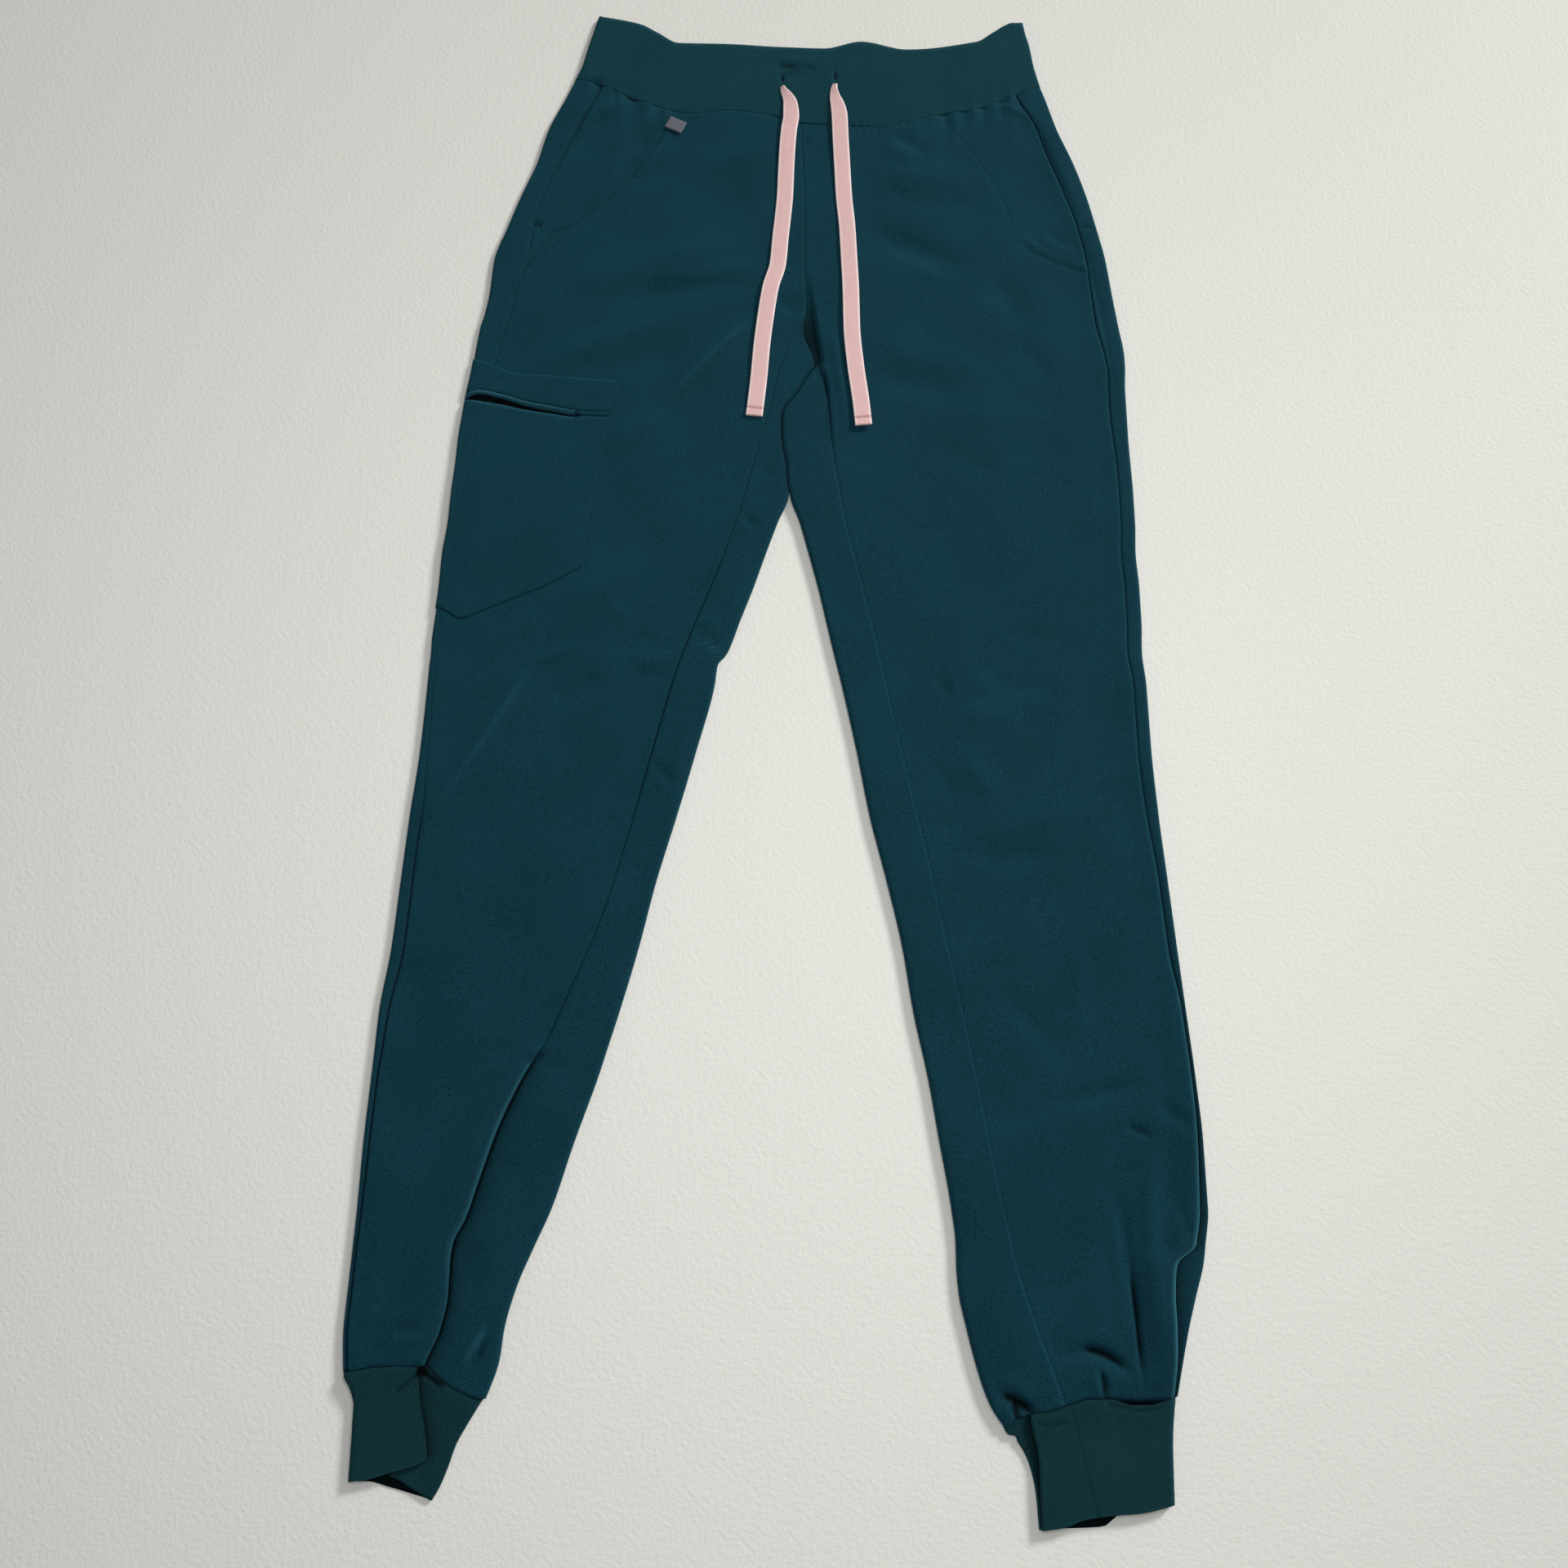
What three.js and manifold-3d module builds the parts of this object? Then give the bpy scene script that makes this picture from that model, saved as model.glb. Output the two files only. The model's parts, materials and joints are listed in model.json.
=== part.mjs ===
// Medical scrub trousers of the jogger kind, laid flat with the wearer's front up.
// Millimetres, +Z up. +X is the wearer's left, +Y runs from the ankles to the waist, and the
// origin is on the surface that the garment lies on, below the middle of its outline.
import * as THREE from "three";
import { mergeVertices } from "three/addons/utils/BufferGeometryUtils.js";
import Module from "manifold-3d";

// Cloth and clearances.
const TWILL_WALL = 1.2;
const RIB_WALL = 1.6;
const WEBBING = 0.9;
const SEAM_GAP = 0.3;
const HALF_GAP = SEAM_GAP / 2;
const LIE_GAP = 0.4;

// The waistband and the cuffs stand this high, lying flat.
const RIB_HEIGHT = 5.2;

// Folds fade out over this distance from an edge. A panel's crest is its last flat strip there.
const EDGE_FADE = 12;
const CREST = 0.5;

// A point's row bends with its own x, so its place is settled in a few passes.
const SETTLE_PASSES = 4;

// The cloth's colours.
const TWILL = new THREE.MeshStandardMaterial({ color: 0x14363e, roughness: 0.85, metalness: 0 });
const RIB = new THREE.MeshStandardMaterial({ color: 0x153b3d, roughness: 0.9, metalness: 0 });
const TAPE = new THREE.MeshStandardMaterial({ color: 0xd6aaa8, roughness: 0.8, metalness: 0 });
const TAB = new THREE.MeshStandardMaterial({ color: 0x77858a, roughness: 0.7, metalness: 0 });

// A short table: one object for each row, with the columns' names as its keys.
function table(columns, rows) {
  return rows.map((row) => Object.fromEntries(columns.map((name, i) => [name, row[i]])));
}

// The smooth curve through one column of a table, against another. It never overshoots a row.
function curve(rows, from, to) {
  const sorted = [...rows].sort((a, b) => a[from] - b[from]);
  const x = sorted.map((row) => row[from]);
  const y = sorted.map((row) => row[to]);
  const last = x.length - 1;
  const slope = x.slice(1).map((value, i) => (y[i + 1] - y[i]) / (value - x[i]));
  const tangent = x.map((_, i) => {
    if (i === 0) return slope[0];
    if (i === last) return slope[last - 1];
    const product = slope[i - 1] * slope[i];
    return product <= 0 ? 0 : (2 * product) / (slope[i - 1] + slope[i]);
  });
  return (at) => {
    if (at <= x[0]) return y[0];
    if (at >= x[last]) return y[last];
    const i = x.findIndex((value) => value >= at) - 1;
    const step = x[i + 1] - x[i];
    const t = (at - x[i]) / step;
    const rise = t * t * (3 - 2 * t);
    return y[i] + (y[i + 1] - y[i]) * rise
      + step * (tangent[i] * t * (1 - t) * (1 - t) - tangent[i + 1] * t * t * (1 - t));
  };
}

const lerp = (a, b, t) => a + (b - a) * t;
const smooth = (t) => {
  const s = Math.min(Math.max(t, 0), 1);
  return s * s * (3 - 2 * s);
};

// The line where the two legs meet: the centre-front seam, the crotch, and the line along which
// the inner edges touch, down to the apex of the gap between the legs.
const MEETING = table(["y", "x"], [
  [460, 15], [419, 15], [351, 17], [285, 17.5], [268, 18], [254, 16], [245, 17], [235, 21],
  [224, 24], [217, 20], [209, 15], [199, 9], [193, 4], [186, 1], [173, 1], [161, 2], [150, 4],
  [135, 5], [128, 6],
]);
const APEX_Y = 128;
const meeting = curve(MEETING, "y", "x");

// The seam between the waistband and the panels, and the waistband's top edge.
const WAIST_SEAM = table(["x", "y"], [
  [-152, 457], [-131, 452], [-114, 443], [-98, 436], [-82, 430], [-64, 427], [-38, 429], [-8, 426],
  [17, 419], [51, 417], [75, 415], [88, 419], [115, 426], [146, 432], [172, 443], [184, 448.5],
  [191, 451],
]);
const BAND_TOP = table(["x", "y"], [
  [-136, 513], [-126, 511], [-103, 505], [-91, 498], [-75, 489], [-34, 488], [2, 485.5], [32, 484],
  [59, 490], [92, 483.5], [144, 490], [156, 498], [166, 505], [171, 507], [178, 507],
]);
const BAND_SIDES = table(["y", "left", "right"], [
  [450, -152.5, 189.5], [457, -150, 187.8], [470, -145, 185], [485, -141.5, 183], [499, -138, 180],
  [513, -134.5, 178],
]);

// The rows of a leg are level, but for those near its ends, which bend to the seams there.
const TOP_NOMINAL = 435;
const BAND_TOP_NOMINAL = 495;
const TOP_FADE = 125;
const ANKLE_FADE = 70;
const RIGHT_ANKLE_NOMINAL = -430;
const LEFT_ANKLE_NOMINAL = -446;
const waistSeam = curve(WAIST_SEAM, "x", "y");
const bandTop = curve(BAND_TOP, "x", "y");

// One row for each section of a leg. outer and inner are its silhouette; tuck is how far the side
// seam lies in from the outer edge, and strip how much of the back panel shows inside the inseam.
const LEG_COLUMNS = ["y", "outer", "tuck", "inner", "strip", "height"];
const RIGHT_SECTIONS = table(LEG_COLUMNS, [
  [460, -148.5, 20, 6, 0, 4.6],
  [442, -156, 22, 6, 0, 4.6],
  [414, -168, 21, 6, 0, 4.6],
  [387, -175, 17, 6, 0, 4.6],
  [360, -185, 16, 6, 0, 4.6],
  [333, -194, 19, 6, 0, 4.6],
  [307, -202, 24, 6, 0, 4.7],
  [280, -204, 18, 6, 0, 4.8],
  [262, -207, 18, 6, 5, 4.8],
  [254, -209, 18, 6, 6, 4.8],
  [234, -211.5, 16, 6, 16, 4.8],
  [220, -213, 15, 6, 22, 4.8],
  [200, -216, 14, 6, 14, 4.8],
  [185, -217.5, 12, 6, 10, 4.8],
  [170, -219, 11, 6, 14, 4.8],
  [148, -220, 9, 6, 23, 4.9],
  [128, -221.5, 8, 5.8, 30, 5],
  [106, -222.5, 7, -2, 29, 5.1],
  [83, -225, 6, -10, 27, 5.2],
  [59, -226, 5, -18, 29, 5.3],
  [36, -228, 4, -27, 29, 5.4],
  [13, -229, 4, -35, 30, 5.4],
  [-9, -230, 4, -43, 29, 5.4],
  [-53, -232, 5, -54, 28, 5.4],
  [-97, -236, 8, -66, 27, 5.4],
  [-139, -239, 8, -78, 28, 5.5],
  [-181, -242, 8, -88, 31, 5.5],
  [-221, -247, 6, -99, 37, 5.6],
  [-241, -248, 5, -105, 38, 5.6],
  [-261, -249, 4, -111, 45, 5.7],
  [-299, -251, 4, -124, 49, 5.8],
  [-337, -252, 3, -136, 47, 5.8],
  [-360, -253, 2.5, -146, 49, 5.8],
  [-382, -254, 2.5, -155, 39, 5.8],
  [-405, -255, 2.5, -161, 36, 5.8],
  [-422, -254, 2.5, -163, 42, 5.8],
  [-446, -251, 2.5, -171, 35, 5.8],
]);
const LEFT_SECTIONS = table(LEG_COLUMNS, [
  [460, 186, 20, 6.4, 0, 4.6],
  [442, 192, 21, 6.4, 0, 4.6],
  [414, 200, 15, 6.4, 0, 4.6],
  [387, 210, 17, 6.4, 0, 4.6],
  [360, 218, 16, 6.4, 0, 4.7],
  [333, 224, 14, 6.4, 0, 4.8],
  [307, 229, 14, 6.4, 0, 5],
  [280, 232, 15, 6.4, 0, 5.2],
  [255, 235, 16, 6.4, 0, 5.4],
  [229, 238, 14, 6.4, 0, 5.6],
  [222, 238, 13, 6.4, 8, 5.6],
  [214, 237.5, 12, 6.4, 12, 5.6],
  [204, 237, 12, 6.4, 20, 5.6],
  [193, 237, 12, 6.4, 29, 5.6],
  [169, 237, 11, 6.4, 33, 5.6],
  [147, 237.5, 10, 6.4, 32, 5.6],
  [128, 238, 10, 6.4, 33, 5.6],
  [106, 238, 10, 13, 30, 5.6],
  [83, 237, 10, 19, 29, 5.6],
  [59, 238, 10, 25, 29, 5.6],
  [36, 238, 10, 30, 28, 5.6],
  [13, 237, 10, 35, 27, 5.6],
  [-9, 238.5, 9, 40, 28, 5.6],
  [-53, 239, 9, 49, 29, 5.6],
  [-97, 241, 8, 57, 29, 5.6],
  [-139, 244, 6, 67, 27, 5.7],
  [-181, 247, 6, 76, 26, 5.8],
  [-221, 250, 3, 82, 28, 5.8],
  [-261, 253, 3, 90, 29, 5.9],
  [-299, 254.9, 4, 96, 29, 6],
  [-337, 255, 6, 102, 30, 6],
  [-358, 252, 7, 104, 34, 6],
  [-369, 250, 17, 104, 35, 6],
  [-385, 245, 14, 105, 38, 6],
  [-405, 239, 8, 109, 42, 6],
  [-429, 233, 3.5, 115, 43, 6],
  [-446, 229, 2.5, 121, 43, 6],
  [-460, 226, 2.5, 130, 34, 6],
]);

// The seams between the legs and their cuffs.
const RIGHT_ANKLE = table(["x", "y"], [
  [-256, -429], [-245, -427.5], [-236, -426], [-211, -425], [-206, -425], [-198, -431], [-187, -438],
  [-171, -443], [-160, -443],
]);
const LEFT_ANKLE = table(["x", "y"], [
  [121, -459], [130, -458], [138, -453], [146, -451], [154, -450], [167, -446], [179, -443],
  [190, -443], [203, -446], [213, -446], [221, -444], [233, -441],
]);

// Lips, where a front panel is folded forward along its seam and stands over the back panel. rise
// is the lip's height at each section, and reach how far in it sinks back to the panel.
const LIP_ROUND = 4;
const RIGHT_INNER_LIP = table(["y", "rise", "reach"], [
  [-236, 0, 20], [-252, 2.4, 26], [-290, 4, 34], [-345, 4.6, 36], [-385, 4.6, 34], [-446, 4, 30],
]);
const LEFT_INNER_LIP = table(["y", "rise", "reach"], [
  [285, 0, 16], [250, 2, 20], [222, 2.2, 22], [185, 1.6, 24], [150, 0.8, 24], [100, 0, 20],
]);
const LEFT_OUTER_LIP = table(["y", "rise", "reach"], [
  [-90, 0, 14], [-200, 1, 14], [-290, 1.6, 16], [-340, 2.6, 18], [-368, 3.4, 20], [-405, 2.8, 20],
  [-442, 0.8, 14],
]);

// The largest folds: each runs from one point by a bend to another, and is a soft ridge, or a
// trough where its height is negative.
const FOLD_COLUMNS = ["fromX", "fromY", "bendX", "bendY", "toX", "toY", "width", "height"];
const RIGHT_FOLDS = table(FOLD_COLUMNS, [
  [-14, 266, -58, 226, -104, 172, 11, 2.4],
  [-126, 391, -106, 410, -84, 428, 11, 1.4],
  [-112, 26, -182, -8, -226, -100, 11, 2.4],
  [-130, -12, -96, -4, -62, 2, 12, -1.2],
  [-176, -70, -190, -130, -214, -200, 20, 1],
  [-150, -240, -158, -244, -172, -246, 8, -1.4],
]);
const LEFT_FOLDS = table(FOLD_COLUMNS, [
  [23, 286, 21, 252, 26, 226, 6, -3.4],
  [60, 330, 120, 300, 168, 240, 14, -0.8],
  [126, -16, 155, -20, 184, -9, 12, -1.4],
  [138, -279, 180, -278, 228, -266, 11, -1.8],
  [222, -300, 217, -365, 216, -438, 8, 2.2],
  [211, -300, 205, -365, 206, -432, 6, -3],
  [172, -413, 187, -417, 201, -427, 8, -2.6],
  [124, -440, 138, -443, 148, -452, 8, -2.4],
]);
const FOLD_STEPS = 10;
const FOLD_TIP = 0.25;
const FOLD_TAPER = 4;

// A fold's middle line as a list of points, worked out once.
function foldLine(fold) {
  const bend = new THREE.QuadraticBezierCurve(
    new THREE.Vector2(fold.fromX, fold.fromY),
    new THREE.Vector2(fold.bendX, fold.bendY),
    new THREE.Vector2(fold.toX, fold.toY),
  );
  return { points: bend.getPoints(FOLD_STEPS), width: fold.width, height: fold.height };
}

// How far one fold lifts the cloth at a point: full along its middle line, and fading to both
// sides and towards both ends.
function foldHeight(line, x, y) {
  let nearest = Infinity;
  let place = 0;
  for (let i = 0; i < FOLD_STEPS; i += 1) {
    const a = line.points[i];
    const b = line.points[i + 1];
    const length = (b.x - a.x) ** 2 + (b.y - a.y) ** 2;
    const t = Math.min(Math.max(((x - a.x) * (b.x - a.x) + (y - a.y) * (b.y - a.y)) / length, 0), 1);
    const distance = Math.hypot(x - lerp(a.x, b.x, t), y - lerp(a.y, b.y, t));
    if (distance < nearest) {
      nearest = distance;
      place = (i + t) / FOLD_STEPS;
    }
  }
  const ends = smooth(Math.min(place, 1 - place) * FOLD_TAPER + FOLD_TIP);
  return line.height * ends * Math.exp(-((nearest / line.width) ** 2));
}

function makeLeg(side, sections, ankle, folds, star, ankleNominal) {
  return {
    side,
    star,
    ankleNominal,
    ankle: curve(ankle, "x", "y"),
    outer: curve(sections, "y", "outer"),
    tuck: curve(sections, "y", "tuck"),
    inner: curve(sections, "y", "inner"),
    strip: curve(sections, "y", "strip"),
    height: curve(sections, "y", "height"),
    folds: folds.map(foldLine),
    lips: [],
  };
}

// star is the last row whose front panel still reaches the meeting line: below it the back panel
// comes round the inner edge.
const RIGHT_STAR = 262;
const LEFT_STAR = 222;
const RIGHT = makeLeg(-1, RIGHT_SECTIONS, RIGHT_ANKLE, RIGHT_FOLDS, RIGHT_STAR, RIGHT_ANKLE_NOMINAL);
const LEFT = makeLeg(1, LEFT_SECTIONS, LEFT_ANKLE, LEFT_FOLDS, LEFT_STAR, LEFT_ANKLE_NOMINAL);

function makeLip(seam, rows) {
  return { seam, rise: curve(rows, "y", "rise"), reach: curve(rows, "y", "reach") };
}
RIGHT.lips = [makeLip("inner", RIGHT_INNER_LIP)];
LEFT.lips = [makeLip("inner", LEFT_INNER_LIP), makeLip("outer", LEFT_OUTER_LIP)];

// A leg's section at y. across is measured from the inner edge to the outer edge, and the skin is
// followed by a length round it: nought where the underside meets the inner wall, rising up that
// wall, over the top and round the outer edge, and negative on the underside.
const MIN_ROUND = 1.8;
const STRIP_ROUND = 8;
function section(leg, y) {
  const inner = y > APEX_Y ? meeting(y) + leg.side * HALF_GAP : leg.inner(y);
  const height = leg.height(y);
  const strip = y >= leg.star ? 0 : leg.strip(y);
  const width = leg.side * (leg.outer(y) - inner);
  const topRound = strip > 0 ? (height / 2) * smooth(strip / STRIP_ROUND) : 0;
  const lowRound = y > leg.star ? 0 : Math.max(MIN_ROUND, topRound);
  const outerRound = height / 2;
  const wallStart = (lowRound * Math.PI) / 2;
  const wallEnd = wallStart + height - lowRound - topRound;
  const topStart = wallEnd + (topRound * Math.PI) / 2;
  const topEnd = topStart + width - topRound - outerRound;
  return {
    leg, y, inner, height, strip, width, topRound, lowRound, outerRound, wallStart, wallEnd,
    topStart, topEnd, tuck: leg.tuck(y), end: topEnd + outerRound * Math.PI,
  };
}

// The point of the skin at a length round the section: across, up, and its outward normal.
function skin(at, length) {
  const { height, width, topRound, lowRound, outerRound } = at;
  if (length <= 0) return { across: lowRound - length, up: 0, normal: [0, -1] };
  if (length < at.wallStart) {
    const turn = length / lowRound;
    return {
      across: lowRound * (1 - Math.sin(turn)),
      up: lowRound * (1 - Math.cos(turn)),
      normal: [-Math.sin(turn), -Math.cos(turn)],
    };
  }
  if (length < at.wallEnd) {
    return { across: 0, up: lowRound + length - at.wallStart, normal: [-1, 0] };
  }
  if (length < at.topStart) {
    const turn = (length - at.wallEnd) / topRound;
    return {
      across: topRound * (1 - Math.cos(turn)),
      up: height - topRound * (1 - Math.sin(turn)),
      normal: [-Math.cos(turn), Math.sin(turn)],
    };
  }
  if (length <= at.topEnd) {
    return { across: topRound + length - at.topStart, up: height, normal: [0, 1] };
  }
  const turn = Math.min((length - at.topEnd) / outerRound, Math.PI);
  return {
    across: width - outerRound * (1 - Math.sin(turn)),
    up: height - outerRound * (1 - Math.cos(turn)),
    normal: [Math.sin(turn), Math.cos(turn)],
  };
}

// The length round the section of a point on its upper side.
function lengthAt(at, across) {
  if (across < at.topRound) {
    return at.wallEnd + at.topRound * Math.acos(1 - across / at.topRound);
  }
  const past = across - (at.width - at.outerRound);
  if (past > 0) return at.topEnd + at.outerRound * Math.asin(Math.min(past / at.outerRound, 1));
  return at.topStart + across - at.topRound;
}

// What the folds and lips add to the height of the upper side. The lips stand on front panels only.
function relief(at, across, y, onFront) {
  const x = at.inner + at.leg.side * across;
  const edge = smooth(Math.min(at.strip > 0 ? across : EDGE_FADE, at.width - across) / EDGE_FADE);
  let total = at.leg.folds.reduce((sum, line) => sum + foldHeight(line, x, y), 0) * edge;
  if (onFront) {
    for (const lip of at.leg.lips) {
      const from = lip.seam === "inner" ? across - at.strip : at.width - at.tuck - across;
      const round = Math.sqrt(1 - (1 - Math.min(Math.max(from, 0) / LIP_ROUND, 1)) ** 2);
      total += lip.rise(y) * round * (1 - smooth((from - LIP_ROUND) / lip.reach(y)));
    }
  }
  return total;
}

// A point of a leg's cloth. nominal is its row before the rows bend to the waist and ankle seams,
// find gives its length round the section, and depth is how far in from the skin it is.
function legPoint(leg, nominal, find, depth, onFront) {
  const top = smooth(1 - (TOP_NOMINAL - nominal) / TOP_FADE);
  const low = smooth(1 - (nominal - leg.ankleNominal) / ANKLE_FADE);
  let y = nominal;
  let at = section(leg, y);
  for (let pass = 0; pass < SETTLE_PASSES; pass += 1) {
    const place = skin(at, find(at));
    const x = at.inner + leg.side * place.across;
    y = nominal + (waistSeam(x) - HALF_GAP - TOP_NOMINAL) * top;
    y += (leg.ankle(x) + HALF_GAP - leg.ankleNominal) * low;
    at = section(leg, y);
  }
  const place = skin(at, find(at));
  const raised = Math.max(place.normal[1], 0) * relief(at, place.across, y, onFront);
  return [
    at.inner + leg.side * (place.across - depth * place.normal[0]),
    y,
    place.up - depth * place.normal[1] + raised,
  ];
}

// The rows of both legs, close together at the crotch and at the ankles.
const HIP_STEP = 25;
const CROTCH_ROWS = { from: 302, to: 182, step: 10 };
const THIGH_ROWS = { from: 150, to: -210, step: 40 };
const CALF_ROWS = { from: -238, count: 13 };
function legRows(leg) {
  const rows = [];
  for (let y = TOP_NOMINAL; y > CROTCH_ROWS.from + CROTCH_ROWS.step; y -= HIP_STEP) rows.push(y);
  for (const zone of [CROTCH_ROWS, THIGH_ROWS]) {
    for (let y = zone.from; y >= zone.to; y -= zone.step) rows.push(y);
  }
  for (let i = 0; i <= CALF_ROWS.count; i += 1) {
    rows.push(lerp(CALF_ROWS.from, leg.ankleNominal, i / CALF_ROWS.count));
  }
  return rows;
}

// A closed solid between two grids of points: a sheet of cloth, or a tube where round is true.
function solid(rows, columns, round, point) {
  const positions = [];
  const index = [];
  const start = [];
  for (const outside of [true, false]) {
    start.push(positions.length / 3);
    for (let i = 0; i < rows; i += 1) {
      for (let j = 0; j < columns; j += 1) positions.push(...point(i, j, outside));
    }
  }
  const vertex = (layer, i, j) => start[layer] + i * columns + (j % columns);
  const quad = (a, b, c, d) => index.push(a, b, c, a, c, d);
  const spans = round ? columns : columns - 1;
  for (let i = 0; i < rows - 1; i += 1) {
    for (let j = 0; j < spans; j += 1) {
      quad(vertex(0, i, j), vertex(0, i, j + 1), vertex(0, i + 1, j + 1), vertex(0, i + 1, j));
      quad(vertex(1, i, j), vertex(1, i + 1, j), vertex(1, i + 1, j + 1), vertex(1, i, j + 1));
    }
    if (!round) {
      const end = columns - 1;
      quad(vertex(0, i, 0), vertex(0, i + 1, 0), vertex(1, i + 1, 0), vertex(1, i, 0));
      quad(vertex(0, i, end), vertex(1, i, end), vertex(1, i + 1, end), vertex(0, i + 1, end));
    }
  }
  const low = rows - 1;
  for (let j = 0; j < spans; j += 1) {
    quad(vertex(0, 0, j), vertex(1, 0, j), vertex(1, 0, j + 1), vertex(0, 0, j + 1));
    quad(vertex(0, low, j), vertex(0, low, j + 1), vertex(1, low, j + 1), vertex(1, low, j));
  }
  return facingOut(positions, index);
}

// The geometry of those faces, all turned outwards: a solid's signed volume is positive.
function facingOut(positions, index) {
  const corner = (i) => new THREE.Vector3().fromArray(positions, 3 * index[i]);
  let volume = 0;
  for (let i = 0; i < index.length; i += 3) {
    volume += corner(i).dot(corner(i + 1).cross(corner(i + 2)));
  }
  if (volume < 0) index.reverse();
  const geometry = new THREE.BufferGeometry();
  geometry.setAttribute("position", new THREE.Float32BufferAttribute(positions, 3));
  geometry.setIndex(index);
  return geometry;
}

// A front panel: from the centre front and the inseam to the side seam, over the top.
const FRONT_COLUMNS = 14;
function frontStops() {
  return Array.from({ length: FRONT_COLUMNS }, (_, j) => (at) => {
    const spread = (1 - Math.cos((Math.PI * j) / (FRONT_COLUMNS - 1))) / 2;
    const from = at.strip > 0 ? lengthAt(at, at.strip) + HALF_GAP : at.topStart;
    return lerp(from, lengthAt(at, at.width - at.tuck) - HALF_GAP, spread);
  });
}

function frontPanel(leg) {
  const rows = legRows(leg);
  const stops = frontStops();
  return solid(rows.length, stops.length, false, (i, j, outside) => (
    legPoint(leg, rows[i], stops[j], outside ? 0 : TWILL_WALL, true)
  ));
}

// A back panel: from the side seam round the outer edge, flat underneath to the centre back, and
// below the crotch up round the inner edge to the inseam.
const OUTER_STEPS = 4;
const CORNER = 6;
const STAR_CLEARANCE = 1.3;
function backStops() {
  const stops = [
    (at) => lengthAt(at, at.width - at.tuck) + HALF_GAP,
    ...Array.from({ length: OUTER_STEPS + 1 }, (_, k) => (at) => {
      const seam = lengthAt(at, at.width - at.tuck) + HALF_GAP;
      return lerp(Math.max(seam + CREST, at.topEnd), at.end, k / OUTER_STEPS);
    }),
    (at) => -lerp(at.width - at.outerRound - at.lowRound, CORNER, 0.5),
  ];
  const turns = [-CORNER, 0, 1 / 3, 2 / 3, 1, "middle", "end"];
  for (const [k, turn] of turns.entries()) {
    stops.push((at) => {
      if (at.strip === 0) {
        const top = at.height - TWILL_WALL - STAR_CLEARANCE - at.lowRound;
        const end = at.y > at.leg.star ? 0 : at.wallStart + top;
        return lerp(-CORNER, end, k / (turns.length - 1));
      }
      const end = lengthAt(at, at.strip) - HALF_GAP;
      if (turn === "end") return end;
      if (turn === "middle") return (at.topStart + end) / 2;
      return turn <= 0 ? turn : turn * Math.min(at.topStart, end - 1);
    });
  }
  return stops;
}

function backPanel(leg) {
  const rows = legRows(leg);
  const stops = backStops();
  return solid(rows.length, stops.length, false, (i, j, outside) => (
    legPoint(leg, rows[i], stops[j], outside ? 0 : TWILL_WALL, false)
  ));
}

// Where a leg's own points lie along one of its end seams, from left to right: on its upper side,
// or on its underside. What is sewn on there has its points at the same places.
const LEVEL = 0.99;
const KNOT_SPACING = 0.4;
function seamPlaces(legs, end, upper) {
  const found = [];
  for (const leg of legs) {
    const nominal = end === "waist" ? TOP_NOMINAL : leg.ankleNominal;
    for (const stop of [...frontStops(), ...backStops()]) {
      const facing = skin(section(leg, nominal), stop(section(leg, nominal))).normal[1];
      if (upper ? facing > LEVEL : facing < -LEVEL) found.push(legPoint(leg, nominal, stop, 0, false)[0]);
    }
  }
  found.sort((a, b) => a - b);
  return found.filter((x, i) => i === 0 || x - found[i - 1] > KNOT_SPACING);
}

// The loop of a flattened tube, as places for its points: along the top, round the right edge,
// back along the underside and round the left edge.
const ARC_STEPS = 5;
const END_SHARE = 0.01;
function tubeLoop(spec) {
  const share = (x) => {
    const y = spec.start(x, "top");
    const span = spec.right(y) - spec.left(y) - spec.height;
    return (x - spec.left(y) - spec.height / 2) / span;
  };
  const between = (t) => t > END_SHARE && t < 1 - END_SHARE;
  const inside = (list) => [0, ...list.map(share).filter(between), 1];
  const arc = Array.from({ length: ARC_STEPS - 1 }, (_, k) => (k + 1) / ARC_STEPS);
  return [
    ...inside(seamPlaces(spec.legs, spec.end, true)).map((t) => ({ part: "top", t })),
    ...arc.map((t) => ({ part: "right", t })),
    ...inside(seamPlaces(spec.legs, spec.end, false)).reverse().map((t) => ({ part: "under", t: 1 - t })),
    ...arc.map((t) => ({ part: "left", t })),
  ];
}

// A point of a flattened tube whose section runs from left to right and is height thick.
function tubePoint(place, left, right, height, depth) {
  const round = height / 2;
  const span = right - left - height;
  if (place.part === "top") return [left + round + span * place.t, height - depth];
  if (place.part === "under") return [right - round - span * place.t, depth];
  const turn = Math.PI * place.t;
  const reach = round - depth;
  if (place.part === "right") {
    return [right - round + reach * Math.sin(turn), round + reach * Math.cos(turn)];
  }
  return [left + round - reach * Math.sin(turn), round - reach * Math.cos(turn)];
}

// A flattened tube between two seams or edges, given as curves of x for its upper and under side.
function tube(spec) {
  const places = tubeLoop(spec);
  return solid(spec.rows + 1, places.length, true, (i, j, outside) => {
    const place = places[j];
    const v = i / spec.rows;
    const depth = outside ? 0 : RIB_WALL;
    let y = lerp(spec.fromY, spec.toY, v);
    let point = [];
    for (let pass = 0; pass < SETTLE_PASSES; pass += 1) {
      point = tubePoint(place, spec.left(y), spec.right(y), spec.height, depth);
      y = lerp(spec.start(point[0], place.part), spec.finish(point[0], place.part), v);
    }
    const rise = place.part === "top" ? spec.relief(point[0], y) : 0;
    return [point[0], y, point[1] + rise];
  });
}

// The waistband: a rib-knit tube, with a buttonhole on each side of the centre front.
const BUTTONHOLES = table(["x", "y"], [[1, 452], [39.5, 454]]);
const HOLE_WIDTH = 2;
const HOLE_LENGTH = 8;
const BAND_ROWS = 3;

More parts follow.
